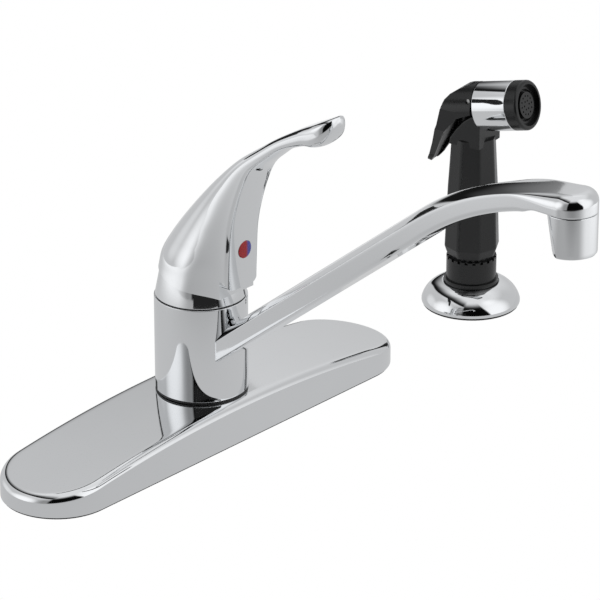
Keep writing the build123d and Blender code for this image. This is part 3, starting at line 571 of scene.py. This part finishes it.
def arm_half(y):
    """Half width of the arm, round at its end."""
    if y < OUTLET_Y:
        return math.sqrt(max(OUTLET_R ** 2 - (y - OUTLET_Y) ** 2, 0.0))
    share = (ARM_ROOT_Y - y) / (ARM_ROOT_Y - OUTLET_Y)
    return mix(ARM_ROOT_HALF, ARM_END_HALF, share)


def arm_top(spot):
    """Height of the crowned top of the arm."""
    x, y = spot
    z, rise = arm_line(y)
    past = max(ARM_BEND_Y - y, 0.0)
    crown = mix(ARM_CROWN, OUTLET_CROWN, smooth(past / (CROWN_RUN * 1.5)))
    half = arm_half(max(y, OUTLET_Y))
    across = min(abs(x) / half, 1.0)
    return z + crown * (1 - across ** 2) * math.sqrt(1 + rise ** 2)


def arm_under(spot):
    """Height of the arm's underside, flat under the outlet."""
    y = spot[1]
    z, rise = arm_line(y)
    past = min(max(ARM_BEND_Y - y, 0.0) / (ARM_BEND_Y - OUTLET_Y), 1.0)
    side = mix(ARM_SIDE, OUTLET_SIDE, past)
    low = z - side * math.sqrt(1 + rise ** 2)
    return mix(low, SEAM_Z, smooth((OUTLET_Y + OUTLET_R + 6 - y) / 8))


def arm_rim():
    """Plan outline of the arm: up one side, round the end and back."""
    side = [mix(ARM_START_Y, ARM_BEND_Y, step / 36) for step in range(36)]
    side += [mix(ARM_BEND_Y, OUTLET_Y, step / 44) for step in range(45)]
    rim = [((-arm_half(y), y), (0.0, y)) for y in side]
    for step in range(1, 40):
        turn = math.pi * step / 40
        rim.append(((-OUTLET_R * math.cos(turn), OUTLET_Y - OUTLET_R * math.sin(turn)), (0.0, OUTLET_Y)))
    rim += [((arm_half(y), y), (0.0, y)) for y in reversed(side)]
    root = arm_half(ARM_START_Y)
    rim += [((root * (1 - step / 4), ARM_START_Y), (0.0, ARM_START_Y)) for step in range(1, 4)]
    rim += [((-root * step / 4, ARM_START_Y), (0.0, ARM_START_Y)) for step in range(1, 4)]
    return rim + rim[:1]


def under_edge(rim, low, corner, steps):
    """Rows from the middle of the underside out to the foot of the wall."""
    rows = []
    for step in range(steps):
        rows.append([])
        for (x, y), (mx, my) in rim:
            run = math.hypot(mx - x, my - y)
            share = 1 - step / steps * max(run - corner((x, y)), 0.0) / run if run else 1.0
            spot = (mix(x, mx, share), mix(y, my, share))
            rows[-1].append((*spot, low(spot)))
    for step in range(6):
        turn = math.pi / 2 * step / 6
        rows.append([])
        for (x, y), (mx, my) in rim:
            radius = corner((x, y))
            run = math.hypot(mx - x, my - y)
            share = min(radius * (1 - math.sin(turn)) / run, 1.0) if run else 0.0
            spot = (mix(x, mx, share), mix(y, my, share))
            rows[-1].append((*spot, low(spot) + radius * (1 - math.cos(turn))))
    return rows


class FAUCET_OT_spout(bpy.types.Operator):
    """Swivelling hub, rising arm with a crowned top, and round outlet end"""
    bl_idname = "faucet.spout"
    bl_label = "Spout"

    def execute(self, context):
        sizes = context.scene.faucet_sizes
        low, high = HUB_Z
        ring = [(HUB_BORE_R, low), (HUB_R, low), (HUB_R, high), (HUB_BORE_R, high)]
        hub = spun("spout_hub", rounded(ring, [0, 0.35, 0.35, 0]), steps=144)
        dress(hub, "spout", materials["chrome"], ["spout"])

        def edge(spot):
            grow = smooth((ARM_BEND_Y - 52 - spot[1]) / 30)
            return mix(sizes.arm_edge, sizes.outlet_edge, grow) / MM

        def corner(spot):
            return mix(ARM_CORNER, 0.2, smooth((OUTLET_Y + 22 - spot[1]) / 10))

        rim = arm_rim()
        rows = under_edge(rim, arm_under, corner, 6)
        rows += over_edge(rim, arm_top, lambda p: arm_under(p) + corner(p), edge, 6, 16)
        arm = skin("spout_arm", rows)
        dress(arm, "spout", materials["chrome"], ["spout"], 28.0)
        return {"FINISHED"}


# ---- outlet skirt --------------------------------------------------------------------
def skirt_ring(rear):
    """Plan of the skirt: a round front and a flatter curve at the rear."""
    edge_y = rear - SKIRT_REAR_DEPTH
    edge_x = math.sqrt(OUTLET_R ** 2 - edge_y ** 2)
    flat_r = (edge_x ** 2 + SKIRT_REAR_DEPTH ** 2) / (2 * SKIRT_REAR_DEPTH)
    flat_y = rear - flat_r
    half = math.atan2(edge_x, edge_y - flat_y)
    ring = []
    for step in range(24):
        turn = mix(-half, half, step / 24)
        ring.append((flat_r * math.sin(turn), flat_y + flat_r * math.cos(turn)))
    begin = math.atan2(edge_y, edge_x)
    for step in range(72):
        turn = mix(begin, -math.pi - begin, step / 72)
        ring.append((OUTLET_R * math.cos(turn), OUTLET_R * math.sin(turn)))
    return ring + ring[:1]


def skirt_row(share, z, inset=0.0):
    """One level of the skirt's outside, share 0 at the bottom and 1 at the top."""
    ring = skirt_ring(mix(SKIRT_REAR[0], SKIRT_REAR[1], share))
    keep = 1 - inset / OUTLET_R
    return [(x * keep, OUTLET_Y + y * keep, z) for x, y in ring]


def bore_row(radius, z):
    """One level of the round bore, matched to the outside point by point."""
    ring = skirt_ring(SKIRT_REAR[0])
    shift = STREAM_Y - OUTLET_Y
    row = []
    for x, y in ring:
        spoke = Vector((x, y - shift)).normalized() * radius
        row.append((spoke.x, STREAM_Y + spoke.y, z))
    return row


class FAUCET_OT_outlet_skirt(bpy.types.Operator):
    """Shell under the spout's end, with a flatter rear, around the aerator"""
    bl_idname = "faucet.outlet_skirt"
    bl_label = "Outlet skirt"

    def execute(self, context):
        low, high = SKIRT_Z
        rows = [bore_row(AERATOR_R - 0.35, high), skirt_row(1.0, high, 0.3), skirt_row(1.0, high - 0.1, 0.08),
                skirt_row(1.0, high - 0.3)]
        levels = 10
        for step in range(1, levels):
            share = 1 - step / levels
            rows.append(skirt_row(share, mix(low, high, share)))
        for turn in (0, 22, 45, 68, 90):
            rise = 0.6 * (1 - math.sin(math.radians(turn)))
            rows.append(skirt_row(0.0, low + rise, 0.6 * (1 - math.cos(math.radians(turn)))))
        rows += [bore_row(AERATOR_R + 0.4, low), bore_row(AERATOR_R, low + 0.4),
                 bore_row(AERATOR_R, AERATOR_TOP_Z), bore_row(AERATOR_R - 0.35, AERATOR_TOP_Z),
                 bore_row(AERATOR_R - 0.35, high)]
        dress(skin("outlet_shell", rows), "spout", materials["chrome"], ["outlet_skirt"], 12.0)
        return {"FINISHED"}


# ---- bonnet --------------------------------------------------------------------------
class FAUCET_OT_bonnet(bpy.types.Operator):
    """Fixed tapered cap between the hub and the handle's hood"""
    bl_idname = "faucet.bonnet"
    bl_label = "Bonnet"

    def execute(self, context):
        (foot_r, foot_z), (wide_r, wide_z), (brow_r, brow_z), (top_r, top_z) = BONNET_OUTSIDE
        ring = [(15.65, foot_z), (foot_r, foot_z), (wide_r, wide_z), (brow_r, brow_z), (top_r, top_z),
                (top_r, top_z - 1.6), (brow_r - BONNET_WALL, brow_z - 1.0),
                (wide_r - BONNET_WALL, wide_z - 0.6), (foot_r - BONNET_WALL, foot_z + 4.5),
                (15.65, foot_z + 4.5)]
        outline = rounded(ring, [0, 0.3, 1.8, 1.2, 0.4, 0, 0, 0, 0, 0])
        dress(spun("bonnet_cap", outline, steps=144), "base", materials["chrome"], ["bonnet"], 35.0)
        return {"FINISHED"}


# ---- handle --------------------------------------------------------------------------
# front y, front z, back y, back z, half width, half width of the front face, bulge of the
# front, and the roundness of the back: 1 is an ellipse, less is flatter with tighter corners
HANDLE_SECTIONS = [
    (-27.3, 60.0, 25.1, 60.0, 25.1, 11.2, 1.4, 1.0),
    (-27.6, 72.0, 22.9, 72.0, 22.9, 11.2, 1.4, 1.0),
    (-27.9, 84.0, 20.7, 85.0, 20.7, 11.2, 1.5, 1.0),
    (-28.2, 92.0, 18.9, 92.5, 19.4, 11.2, 1.5, 1.0),
    (-28.6, 101.0, 13.8, 101.0, 17.2, 11.1, 1.5, 1.0),
    (-29.4, 111.0, 6.0, 111.5, 14.9, 11.0, 1.5, 1.0),
    (-31.6, 121.5, -4.5, 123.8, 12.9, 10.9, 1.5, 0.95),
    (-35.6, 133.5, -16.2, 136.0, 11.6, 10.7, 1.6, 0.85),
    (-40.9, 144.5, -30.0, 148.4, 10.8, 10.5, 1.6, 0.7),
    (-50.1, 153.1, -44.2, 158.3, 10.2, 10.0, 1.6, 0.55),
    (-59.6, 160.2, -54.8, 165.4, 9.7, 9.5, 1.7, 0.45),
    (-70.8, 164.8, -67.0, 172.5, 9.5, 9.2, 1.8, 0.45),
    (-77.6, 165.9, -74.2, 176.2, 9.5, 9.0, 1.8, 0.45),
    (-82.2, 168.6, -79.6, 179.0, 8.9, 8.1, 1.5, 0.45),
    (-85.0, 172.6, -83.4, 180.9, 7.1, 6.2, 1.0, 0.5),
    (-86.3, 176.4, -85.6, 181.8, 4.4, 3.7, 0.5, 0.6),
    (-86.8, 179.0, -86.6, 181.9, 1.2, 0.9, 0.1, 0.8),
]
SIDE_HOLLOW = 0.85
HOOD_RIM_Z = 81.24
HOOD_RIM_SLOPE = 0.19
BLOCK_BOTTOM_Z = 81.5
BLOCK_CORNER_R = 4.5
BLOCK_HALF = 11.25
BONNET_SIDE_Y = -23.0


def through(values, position):
    """Catmull-Rom value at a position counted in steps along a list of equal-length tuples."""
    last = len(values) - 1
    index = min(int(position), last - 1)
    t = position - index
    p0, p1 = values[max(index - 1, 0)], values[index]
    p2, p3 = values[index + 1], values[min(index + 2, last)]
    return [0.5 * (2 * b + (c - a) * t + (2 * a - 5 * b + 4 * c - d) * t * t
                   + (3 * b - a - 3 * c + d) * t ** 3)
            for a, b, c, d in zip(p0, p1, p2, p3)]


def handle_ring(values):
    """Section of the casting: bulged front, crisp corners, sides that run into a round back."""
    front_y, front_z, back_y, back_z, half, corner, bulge, roundness = values
    across = Vector((0, back_y - front_y, back_z - front_z))
    depth = across.length
    across.normalize()
    widest = min(depth - half, depth * 0.5) if depth > 2 * half else depth * 0.5
    reach = min(1.8, widest * 0.35)

    def front(x):
        return x, bulge * (x / corner) ** 2

    def side(share):
        hollow = mix(math.sin(share * math.pi / 2), (1 - math.cos(share * math.pi)) / 2, SIDE_HOLLOW)
        return mix(corner, half, hollow), mix(bulge, widest, share)

    start, begin = front(corner - reach), reach / widest
    end = side(begin)
    right = [front((corner - reach) * step / 10) for step in range(1, 10)]
    for step in range(9):
        share = step / 8
        weights = ((1 - share) ** 2, 2 * share * (1 - share), share ** 2)
        right.append(tuple(sum(w * point[axis] for w, point in zip(weights, (start, (corner, bulge), end)))
                           for axis in (0, 1)))
    right += [side(mix(begin, 1.0, step / 18)) for step in range(1, 18)]
    for step in range(21):
        turn = math.pi / 2 * step / 20
        right.append((half * max(math.cos(turn), 0.0) ** roundness,
                      widest + (depth - widest) * math.sin(turn) ** roundness))
    ring = [front(0.0)] + right + [(-x, q) for x, q in reversed(right[:-1])]
    ring.append(ring[0])
    return [(x, front_y + across.y * q, front_z + across.z * q) for x, q in ring]


def prism(name, outline, sweep):
    """Solid from a flat outline of points in millimetres, swept by a vector."""
    bpy.ops.object.select_all(action="DESELECT")
    bpy.ops.mesh.primitive_circle_add(vertices=len(outline), fill_type="NGON")
    piece = bpy.context.object
    piece.name = piece.data.name = name
    for vertex, point in zip(piece.data.vertices, outline):
        vertex.co = Vector(point) * MM
    bpy.ops.object.mode_set(mode="EDIT")
    bpy.ops.mesh.select_all(action="SELECT")
    bpy.ops.mesh.extrude_region_move(TRANSFORM_OT_translate={"value": Vector(sweep) * MM})
    bpy.ops.mesh.select_all(action="SELECT")
    bpy.ops.mesh.normals_make_consistent(inside=False)
    bpy.ops.object.mode_set(mode="OBJECT")
    return piece


class FAUCET_OT_friction_ring(bpy.types.Operator):
    """Thin black ring between the plate and the hub"""
    bl_idname = "faucet.friction_ring"
    bl_label = "Friction ring"

    def execute(self, context):
        low, high = RING_Z
        outside = HUB_R - RING_INSET
        outline = rounded([(RING_BORE_R, low), (outside, low), (outside, high), (RING_BORE_R, high)],
                          [0, 0.2, 0.2, 0])
        piece = spun("hub_ring", outline, 120)
        dress(piece, "base", materials["bearing_plastic"], ["friction_ring"])
        return {"FINISHED"}


class FAUCET_OT_index_button(bpy.types.Operator):
    """Round two-coloured button, flush with the front of the hood"""
    bl_idname = "faucet.index_button"
    bl_label = "Index button"

    def execute(self, context):
        dome = [(BUTTON_R * math.cos(math.radians(a)), BUTTON_DOME * math.sin(math.radians(a)))
                for a in range(0, 90, 10)]
        outline = [(0.0, -BUTTON_DEPTH), (BUTTON_R, -BUTTON_DEPTH)] + dome + [(0.0, BUTTON_DOME)]
        turn = Matrix.Rotation(math.radians(90), 4, "X")
        place = Matrix.Translation((0, BUTTON_FRONT_Y * MM, BUTTON_Z * MM)) @ turn
        piece = spun("index_disc", outline, 72, place)
        dress(piece, "lever", materials["index_colours"], ["index_button"])
        return {"FINISHED"}


class FAUCET_OT_handle(bpy.types.Operator):
    """Hood over the bonnet and the lever that grows out of it"""
    bl_idname = "faucet.handle"
    bl_label = "Handle"

    def execute(self, context):
        count = 176
        last = len(HANDLE_SECTIONS) - 1
        rings = [handle_ring(through(HANDLE_SECTIONS, last * step / count)) for step in range(count + 1)]
        for end in (0, -1):
            centre = [sum(p[i] for p in rings[end]) / len(rings[end]) for i in range(3)]
            closing = [tuple(centre)] * len(rings[end])
            rings.insert(0 if end == 0 else len(rings), closing)
        handle = skin("handle_casting", rings)
        far = 60.0
        profile = [(-100.0, 140.0), (-100.0, 200.0), (far, 200.0), (far, HOOD_RIM_Z + HOOD_RIM_SLOPE * far),
                   (BONNET_SIDE_Y, HOOD_RIM_Z + HOOD_RIM_SLOPE * BONNET_SIDE_Y),
                   (BONNET_SIDE_Y, BLOCK_BOTTOM_Z)]
        profile += [(BLOCK_FRONT_Y, BLOCK_BOTTOM_Z), (-34.0, 90.0), (-60.0, 120.0)]
        keep_common(handle, prism("handle_profile", [(-40.0, y, z) for y, z in profile], (80.0, 0.0, 0.0)))
        for side in (-1, 1):
            corner = [(BLOCK_HALF + 2, BLOCK_BOTTOM_Z + BLOCK_CORNER_R), (BLOCK_HALF + 2, BLOCK_BOTTOM_Z - 2),
                      (BLOCK_HALF - BLOCK_CORNER_R, BLOCK_BOTTOM_Z - 2)]
            for step in range(13):
                turn = math.pi / 2 * step / 12
                corner.append((BLOCK_HALF - BLOCK_CORNER_R * (1 - math.sin(turn)),
                               BLOCK_BOTTOM_Z + BLOCK_CORNER_R * (1 - math.cos(turn))))
            carve(handle, prism("block_corner", [(side * x, -40.0, z) for x, z in corner],
                                (0.0, 40.0 + BONNET_SIDE_Y, 0.0)))
        for step in range(HOOD_STEPS + 1):
            lift = HANDLE_LIFT * step / HOOD_STEPS
            gap = HOOD_GAP + HOOD_GROWTH * step
            hollow = [(0.0, 58.0), (26.0, 58.0)] + [(r + gap, z) for r, z in BONNET_OUTSIDE[:-1]]
            hollow += [(BONNET_OUTSIDE[-1][0] + gap, BONNET_OUTSIDE[-1][1] + gap), (0.0, 94.0 + gap)]
            turn = Matrix.Translation((0, 0, PIVOT_Z * MM)) @ Matrix.Rotation(math.radians(lift), 4, "X")
            carve(handle, spun("handle_hollow", hollow, 96, turn @ Matrix.Translation((0, 0, -PIVOT_Z * MM))))
        bpy.ops.mesh.primitive_cylinder_add(vertices=64, radius=BUTTON_HOLE_R * MM, depth=40 * MM,
                                            location=(0, (BUTTON_BACK_Y - 20) * MM, BUTTON_Z * MM),
                                            rotation=(math.pi / 2, 0, 0))
        carve(handle, context.object)
        dress(handle, "lever", materials["chrome"], ["handle"], 24.0)
        return {"FINISHED"}


# ---- hand spray and its holder -------------------------------------------------------
def spray_place():
    """From the hand spray's own axis to its hole in the deck."""
    turn = Matrix.Rotation(math.radians(SPRAY_TURN), 4, "Z")
    return Matrix.Translation((SPRAY_X * MM, SPRAY_Y * MM, 0)) @ turn


def head_place():
    """From upright to the axis of the spray head, pointing out of the nozzle."""
    turn = Matrix.Rotation(math.radians(90 - HEAD_TILT), 4, "X")
    return spray_place() @ Matrix.Translation((0, 0, HEAD_AXIS_Z * MM)) @ turn


class FAUCET_OT_spray_flange(bpy.types.Operator):
    """Domed ring on the deck around the spray holder"""
    bl_idname = "faucet.spray_flange"
    bl_label = "Spray flange"

    def execute(self, context):
        outline = [(25.2, 1.0), (25.5, 1.15), (25.6, 1.5)]
        outline += arc_through((25.6, 2.4), (21.4, 9.3), (14.9, 12.35), 30)
        outline += [(14.9, 12.35), (14.6, 12.3), (14.35, 12.0), (14.35, 9.5), (11.3, 9.5), (11.3, 8.2)]
        outline += arc_through((16.0, 8.2), (20.6, 6.4), (24.3, 2.4), 12)
        outline += [(24.3, 2.4), (24.3, 1.0)]
        piece = spun("flange_dome", outline, 144, spray_place())
        dress(piece, "base", materials["chrome"], ["spray_flange"], 35.0)
        return {"FINISHED"}


class FAUCET_OT_spray_band(bpy.types.Operator):
    """Plated sleeve round the spray head"""
    bl_idname = "faucet.spray_band"
    bl_label = "Spray band"

    def execute(self, context):
        low, high = BAND
        ring = [(HEAD_R - BAND_WALL, low), (HEAD_R, low), (HEAD_R, high), (HEAD_R - BAND_WALL, high)]
        outline = rounded(ring, [0, 0.35, 0.5, 0])
        piece = spun("head_sleeve", outline, 144, head_place())
        dress(piece, "sprayer", materials["chrome"], ["spray_band"], 35.0)
        return {"FINISHED"}


# ---- finishes of the solids that stay ------------------------------------------------
class FAUCET_OT_finishes(bpy.types.Operator):
    """Make every finish and lay it on the solids by their material slot"""
    bl_idname = "faucet.finishes"
    bl_label = "Finishes"

    def execute(self, context):
        for name, build in FINISHES.items():
            materials[name] = new_material(name, build)
        for row in frame["record"]["subparts"]:
            solid = frame["nodes"][row["node"]]
            solid.data.materials.clear()
            solid.data.materials.append(materials[row["material_slot"]])
        return {"FINISHED"}


# ---- stage: floor, light and camera ----------------------------------------------------
def floor_finish(finish):
    """White to the camera; to everything that mirrors it, the table glows with a painted reflection: greyer
    near the camera, painted light patches to each side and far behind, and a painted near-black patch just in
    front of the camera.
    """
    path = finish.node("ShaderNodeLightPath").socket.node.outputs
    x, y, z = finish.parts_of(finish.place())
    near = x * TOWARDS.x + y * TOWARDS.y
    side = x * SIDEWAYS.x + y * SIDEWAYS.y - 0.05
    turn = side.math("ARCTAN2", near) * (180 / math.pi)
    reach = (near * near + side * side).math("SQRT")
    # Painted floor brightness as the chrome mirrors it: greyer near the camera, painted light patches to each
    # side and far behind.
    painted_floor_level = 0.62 - near.ramp(-0.02, 0.36) * 0.16
    painted_side_light = turn.within(-124.0, -48.0, 16.0) + turn.within(46.0, 112.0, 14.0)
    painted_floor_level = painted_floor_level + reach.ramp(0.24, 0.60) * painted_side_light * 0.5 + (1 - near.ramp(-0.65, -0.3)) * 0.4
    # Painted dark patch: the floor goes near black just in front of the camera.
    painted_floor_level = painted_floor_level * (1 - near.ramp(0.45, 0.66) * turn.within(-26.0, 50.0, 6.0) * 0.985)
    # The floor glows instead of being lit, so what the chrome mirrors of it is painted light and shade.
    painted_floor_glow = finish.node("ShaderNodeEmission", None, {"Color": (0.985, 0.99, 1.0, 1), "Strength": painted_floor_level})
    white = finish.node("ShaderNodeEmission", None, {"Color": (1, 1, 1, 1), "Strength": 1.0})
    matt = finish.node("ShaderNodeBsdfDiffuse", None, {"Color": (0.7, 0.7, 0.7, 1)})
    unseen = finish.node("ShaderNodeMixShader", None,
                         {0: Signal(finish, path["Is Glossy Ray"]), 1: matt, 2: painted_floor_glow})
    shown = finish.node("ShaderNodeMixShader", None,
                        {0: Signal(finish, path["Is Camera Ray"]), 1: unseen, 2: white})
    finish.node("ShaderNodeOutputMaterial", None, {"Surface": shown})


# dark screen behind the faucet: x, lower and upper edge, in millimetres
SCREEN_Y = 80.0
SCREEN = [(120.0, 152.0, 176.0), (78.0, 157.0, 203.0), (44.0, 172.0, 226.0), (16.0, 172.0, 229.0),
          (-12.0, 168.0, 228.0), (-40.0, 168.0, 220.0), (-72.0, 180.0, 210.0)]
# dark strip low in front of the hub: turn from the camera in degrees, distance and heights
VISOR_TURN = (-16.0, 45.0)
VISOR_R = 120.0
VISOR_Z = (55.0, 74.0)


def screen_finish(finish):
    """Near black, and only ever seen in the chrome."""
    dark = finish.node("ShaderNodeEmission", None, {"Color": (0.985, 0.99, 1.0, 1), "Strength": 0.02})
    finish.node("ShaderNodeOutputMaterial", None, {"Surface": dark})


def lobe(turn, rise, centre, spread):
    """Soft round patch of light at (turn, rise) degrees."""
    across = (turn - centre[0]) / spread[0]
    along = (rise - centre[1]) / spread[1]
    return 1 - (across * across + along * along).ramp(0.0, 1.0)


def studio_sky(finish):
    """A pale tent: a black gap around the camera, a bright panel on each side of it and a dark seam."""
    direction = finish.node("ShaderNodeTexCoord", output="Generated")
    x, y, z = finish.parts_of(direction)
    level = Vector((TOWARDS.x, TOWARDS.y)).normalized()
    near = x * level.x + y * level.y
    right = x * SIDEWAYS.x + y * SIDEWAYS.y
    turn = right.math("ARCTAN2", near) * (180 / math.pi)
    rise = z.math("ARCSINE") * (180 / math.pi)
    # turn 0 faces the camera and grows to its right; rise is the height above level
    tent = 0.64 + rise.ramp(38.0, 60.0) * 0.24
    tent = tent + lobe(turn, rise, (-72.0, 14.0), (32.0, 34.0)) * 0.56
    tent = tent + lobe(turn, rise, (-112.0, 10.0), (24.0, 18.0)) * 0.24
    tent = tent + lobe(turn, rise, (60.0, 16.0), (46.0, 60.0)) * 0.52
    tent = tent + turn.ramp(120.0, 175.0) * rise.within(20.0, 60.0, 16.0) * 0.16
    offset = turn + 80.0
    bend = offset * offset * (0.003 + (1 - turn.ramp(-84.0, -76.0)) * 0.0036)
    bend = bend + turn.within(-169.0, -156.0, 6.0) * 6.0
    above = (rise - 58.0 + bend) / (1 + offset * offset * 0.00006)
    seam = above.ramp(-4.5, -1.5) * (1 - above.ramp(2.0, 24.0)) * (1 - turn.ramp(-26.0, -14.0))
    edge_right = 46.0 - rise.ramp(-10.0, 60.0) * 20.0
    before_edge = 1 - (turn - edge_right).ramp(-3.0, 3.0)
    gap = turn.ramp(-25.0, -19.0) * before_edge * (1 - rise.ramp(38.0, 68.0))
    veil = turn.ramp(-52.0, -32.0) * before_edge * (1 - rise.ramp(26.0, 50.0))
    light = tent * (1 - gap * 0.992) * (1 - seam * 0.985) * (1 - veil * 0.5)
    around = finish.node("ShaderNodeBackground", None, {"Color": (0.985, 0.99, 1.0, 1), "Strength": light})
    white = finish.node("ShaderNodeBackground", None, {"Color": (1, 1, 1, 1), "Strength": 1.0})
    path = finish.node("ShaderNodeLightPath").socket.node.outputs
    both = finish.node("ShaderNodeMixShader", None,
                       {0: Signal(finish, path["Is Camera Ray"]), 1: around, 2: white})
    finish.node("ShaderNodeOutputWorld", None, {"Surface": both})


class FAUCET_OT_stage(bpy.types.Operator):
    """Pale floor, studio surroundings and the camera"""
    bl_idname = "faucet.stage"
    bl_label = "Stage"

    def execute(self, context):
        scene = context.scene
        bpy.ops.object.select_all(action="DESELECT")
        bpy.ops.mesh.primitive_grid_add(x_subdivisions=8, y_subdivisions=8, size=1.3)
        floor = context.object
        floor.name = floor.data.name = "floor"
        floor.data.transform(Matrix.Translation((60 * MM, -150 * MM, 0)))
        floor.data.materials.append(new_material("floor", floor_finish))
        dark = new_material("screen", screen_finish)
        level = Vector((TOWARDS.x, TOWARDS.y, 0)).normalized()
        visor = [level * math.cos(turn) + SIDEWAYS * math.sin(turn)
                 for turn in (math.radians(mix(*VISOR_TURN, step / 12)) for step in range(13))]
        screens = {
            "screen": [[(x, SCREEN_Y, z[i]) for x, *z in SCREEN] for i in (0, 1)],
            "visor": [[(p.x * VISOR_R, p.y * VISOR_R, z) for p in visor] for z in VISOR_Z],
        }
        for name, rows in screens.items():
            screen = skin(name, rows)
            screen.data.materials.append(dark)
            screen.visible_camera = screen.visible_diffuse = screen.visible_shadow = False
        world = bpy.data.worlds.new("studio")
        studio_sky(Finish(world))
        scene.world = world
        up = TOWARDS.cross(SIDEWAYS)
        spot = (SIDEWAYS * VIEW_RIGHT + up * VIEW_UP + TOWARDS * VIEW_DISTANCE) * MM
        bpy.ops.object.camera_add(location=spot)
        camera = context.object
        camera.name = "camera"
        camera.matrix_world = Matrix.Translation(spot) @ Matrix((SIDEWAYS, up, TOWARDS)).transposed().to_4x4()
        camera.data.lens = LENS
        camera.data.sensor_width = 36.0
        camera.data.clip_end = 20.0
        scene.camera = camera
        scene.view_settings.view_transform = "Standard"
        return {"FINISHED"}


class FAUCET_PT_panel(bpy.types.Panel):
    """Steps that dress the faucet"""
    bl_idname = "FAUCET_PT_panel"
    bl_label = "Kitchen faucet"
    bl_space_type = "VIEW_3D"
    bl_region_type = "UI"
    bl_category = "Faucet"

    def draw(self, context):
        layout = self.layout
        for group in (context.scene.faucet_look, context.scene.faucet_sizes):
            for name in group.__annotations__:
                layout.prop(group, name)
        for operator in OPERATORS:
            layout.operator(operator.bl_idname)


OPERATORS = [
    FAUCET_OT_finishes, FAUCET_OT_stage, FAUCET_OT_deck_plate, FAUCET_OT_spout, FAUCET_OT_outlet_skirt,
    FAUCET_OT_friction_ring, FAUCET_OT_bonnet, FAUCET_OT_handle, FAUCET_OT_index_button,
    FAUCET_OT_spray_flange, FAUCET_OT_spray_band,
]


def register():
    for group in (FaucetLook, FaucetSizes, *OPERATORS, FAUCET_PT_panel):
        bpy.utils.register_class(group)
    bpy.types.Scene.faucet_look = bpy.props.PointerProperty(type=FaucetLook)
    bpy.types.Scene.faucet_sizes = bpy.props.PointerProperty(type=FaucetSizes)


def unregister():
    del bpy.types.Scene.faucet_sizes
    del bpy.types.Scene.faucet_look
    for group in reversed((FaucetLook, FaucetSizes, *OPERATORS, FAUCET_PT_panel)):
        bpy.utils.unregister_class(group)


def main():
    register()
    for operator in OPERATORS:
        area, name = operator.bl_idname.split(".")
        getattr(getattr(bpy.ops, area), name)()


if __name__ == "__main__":
    main()
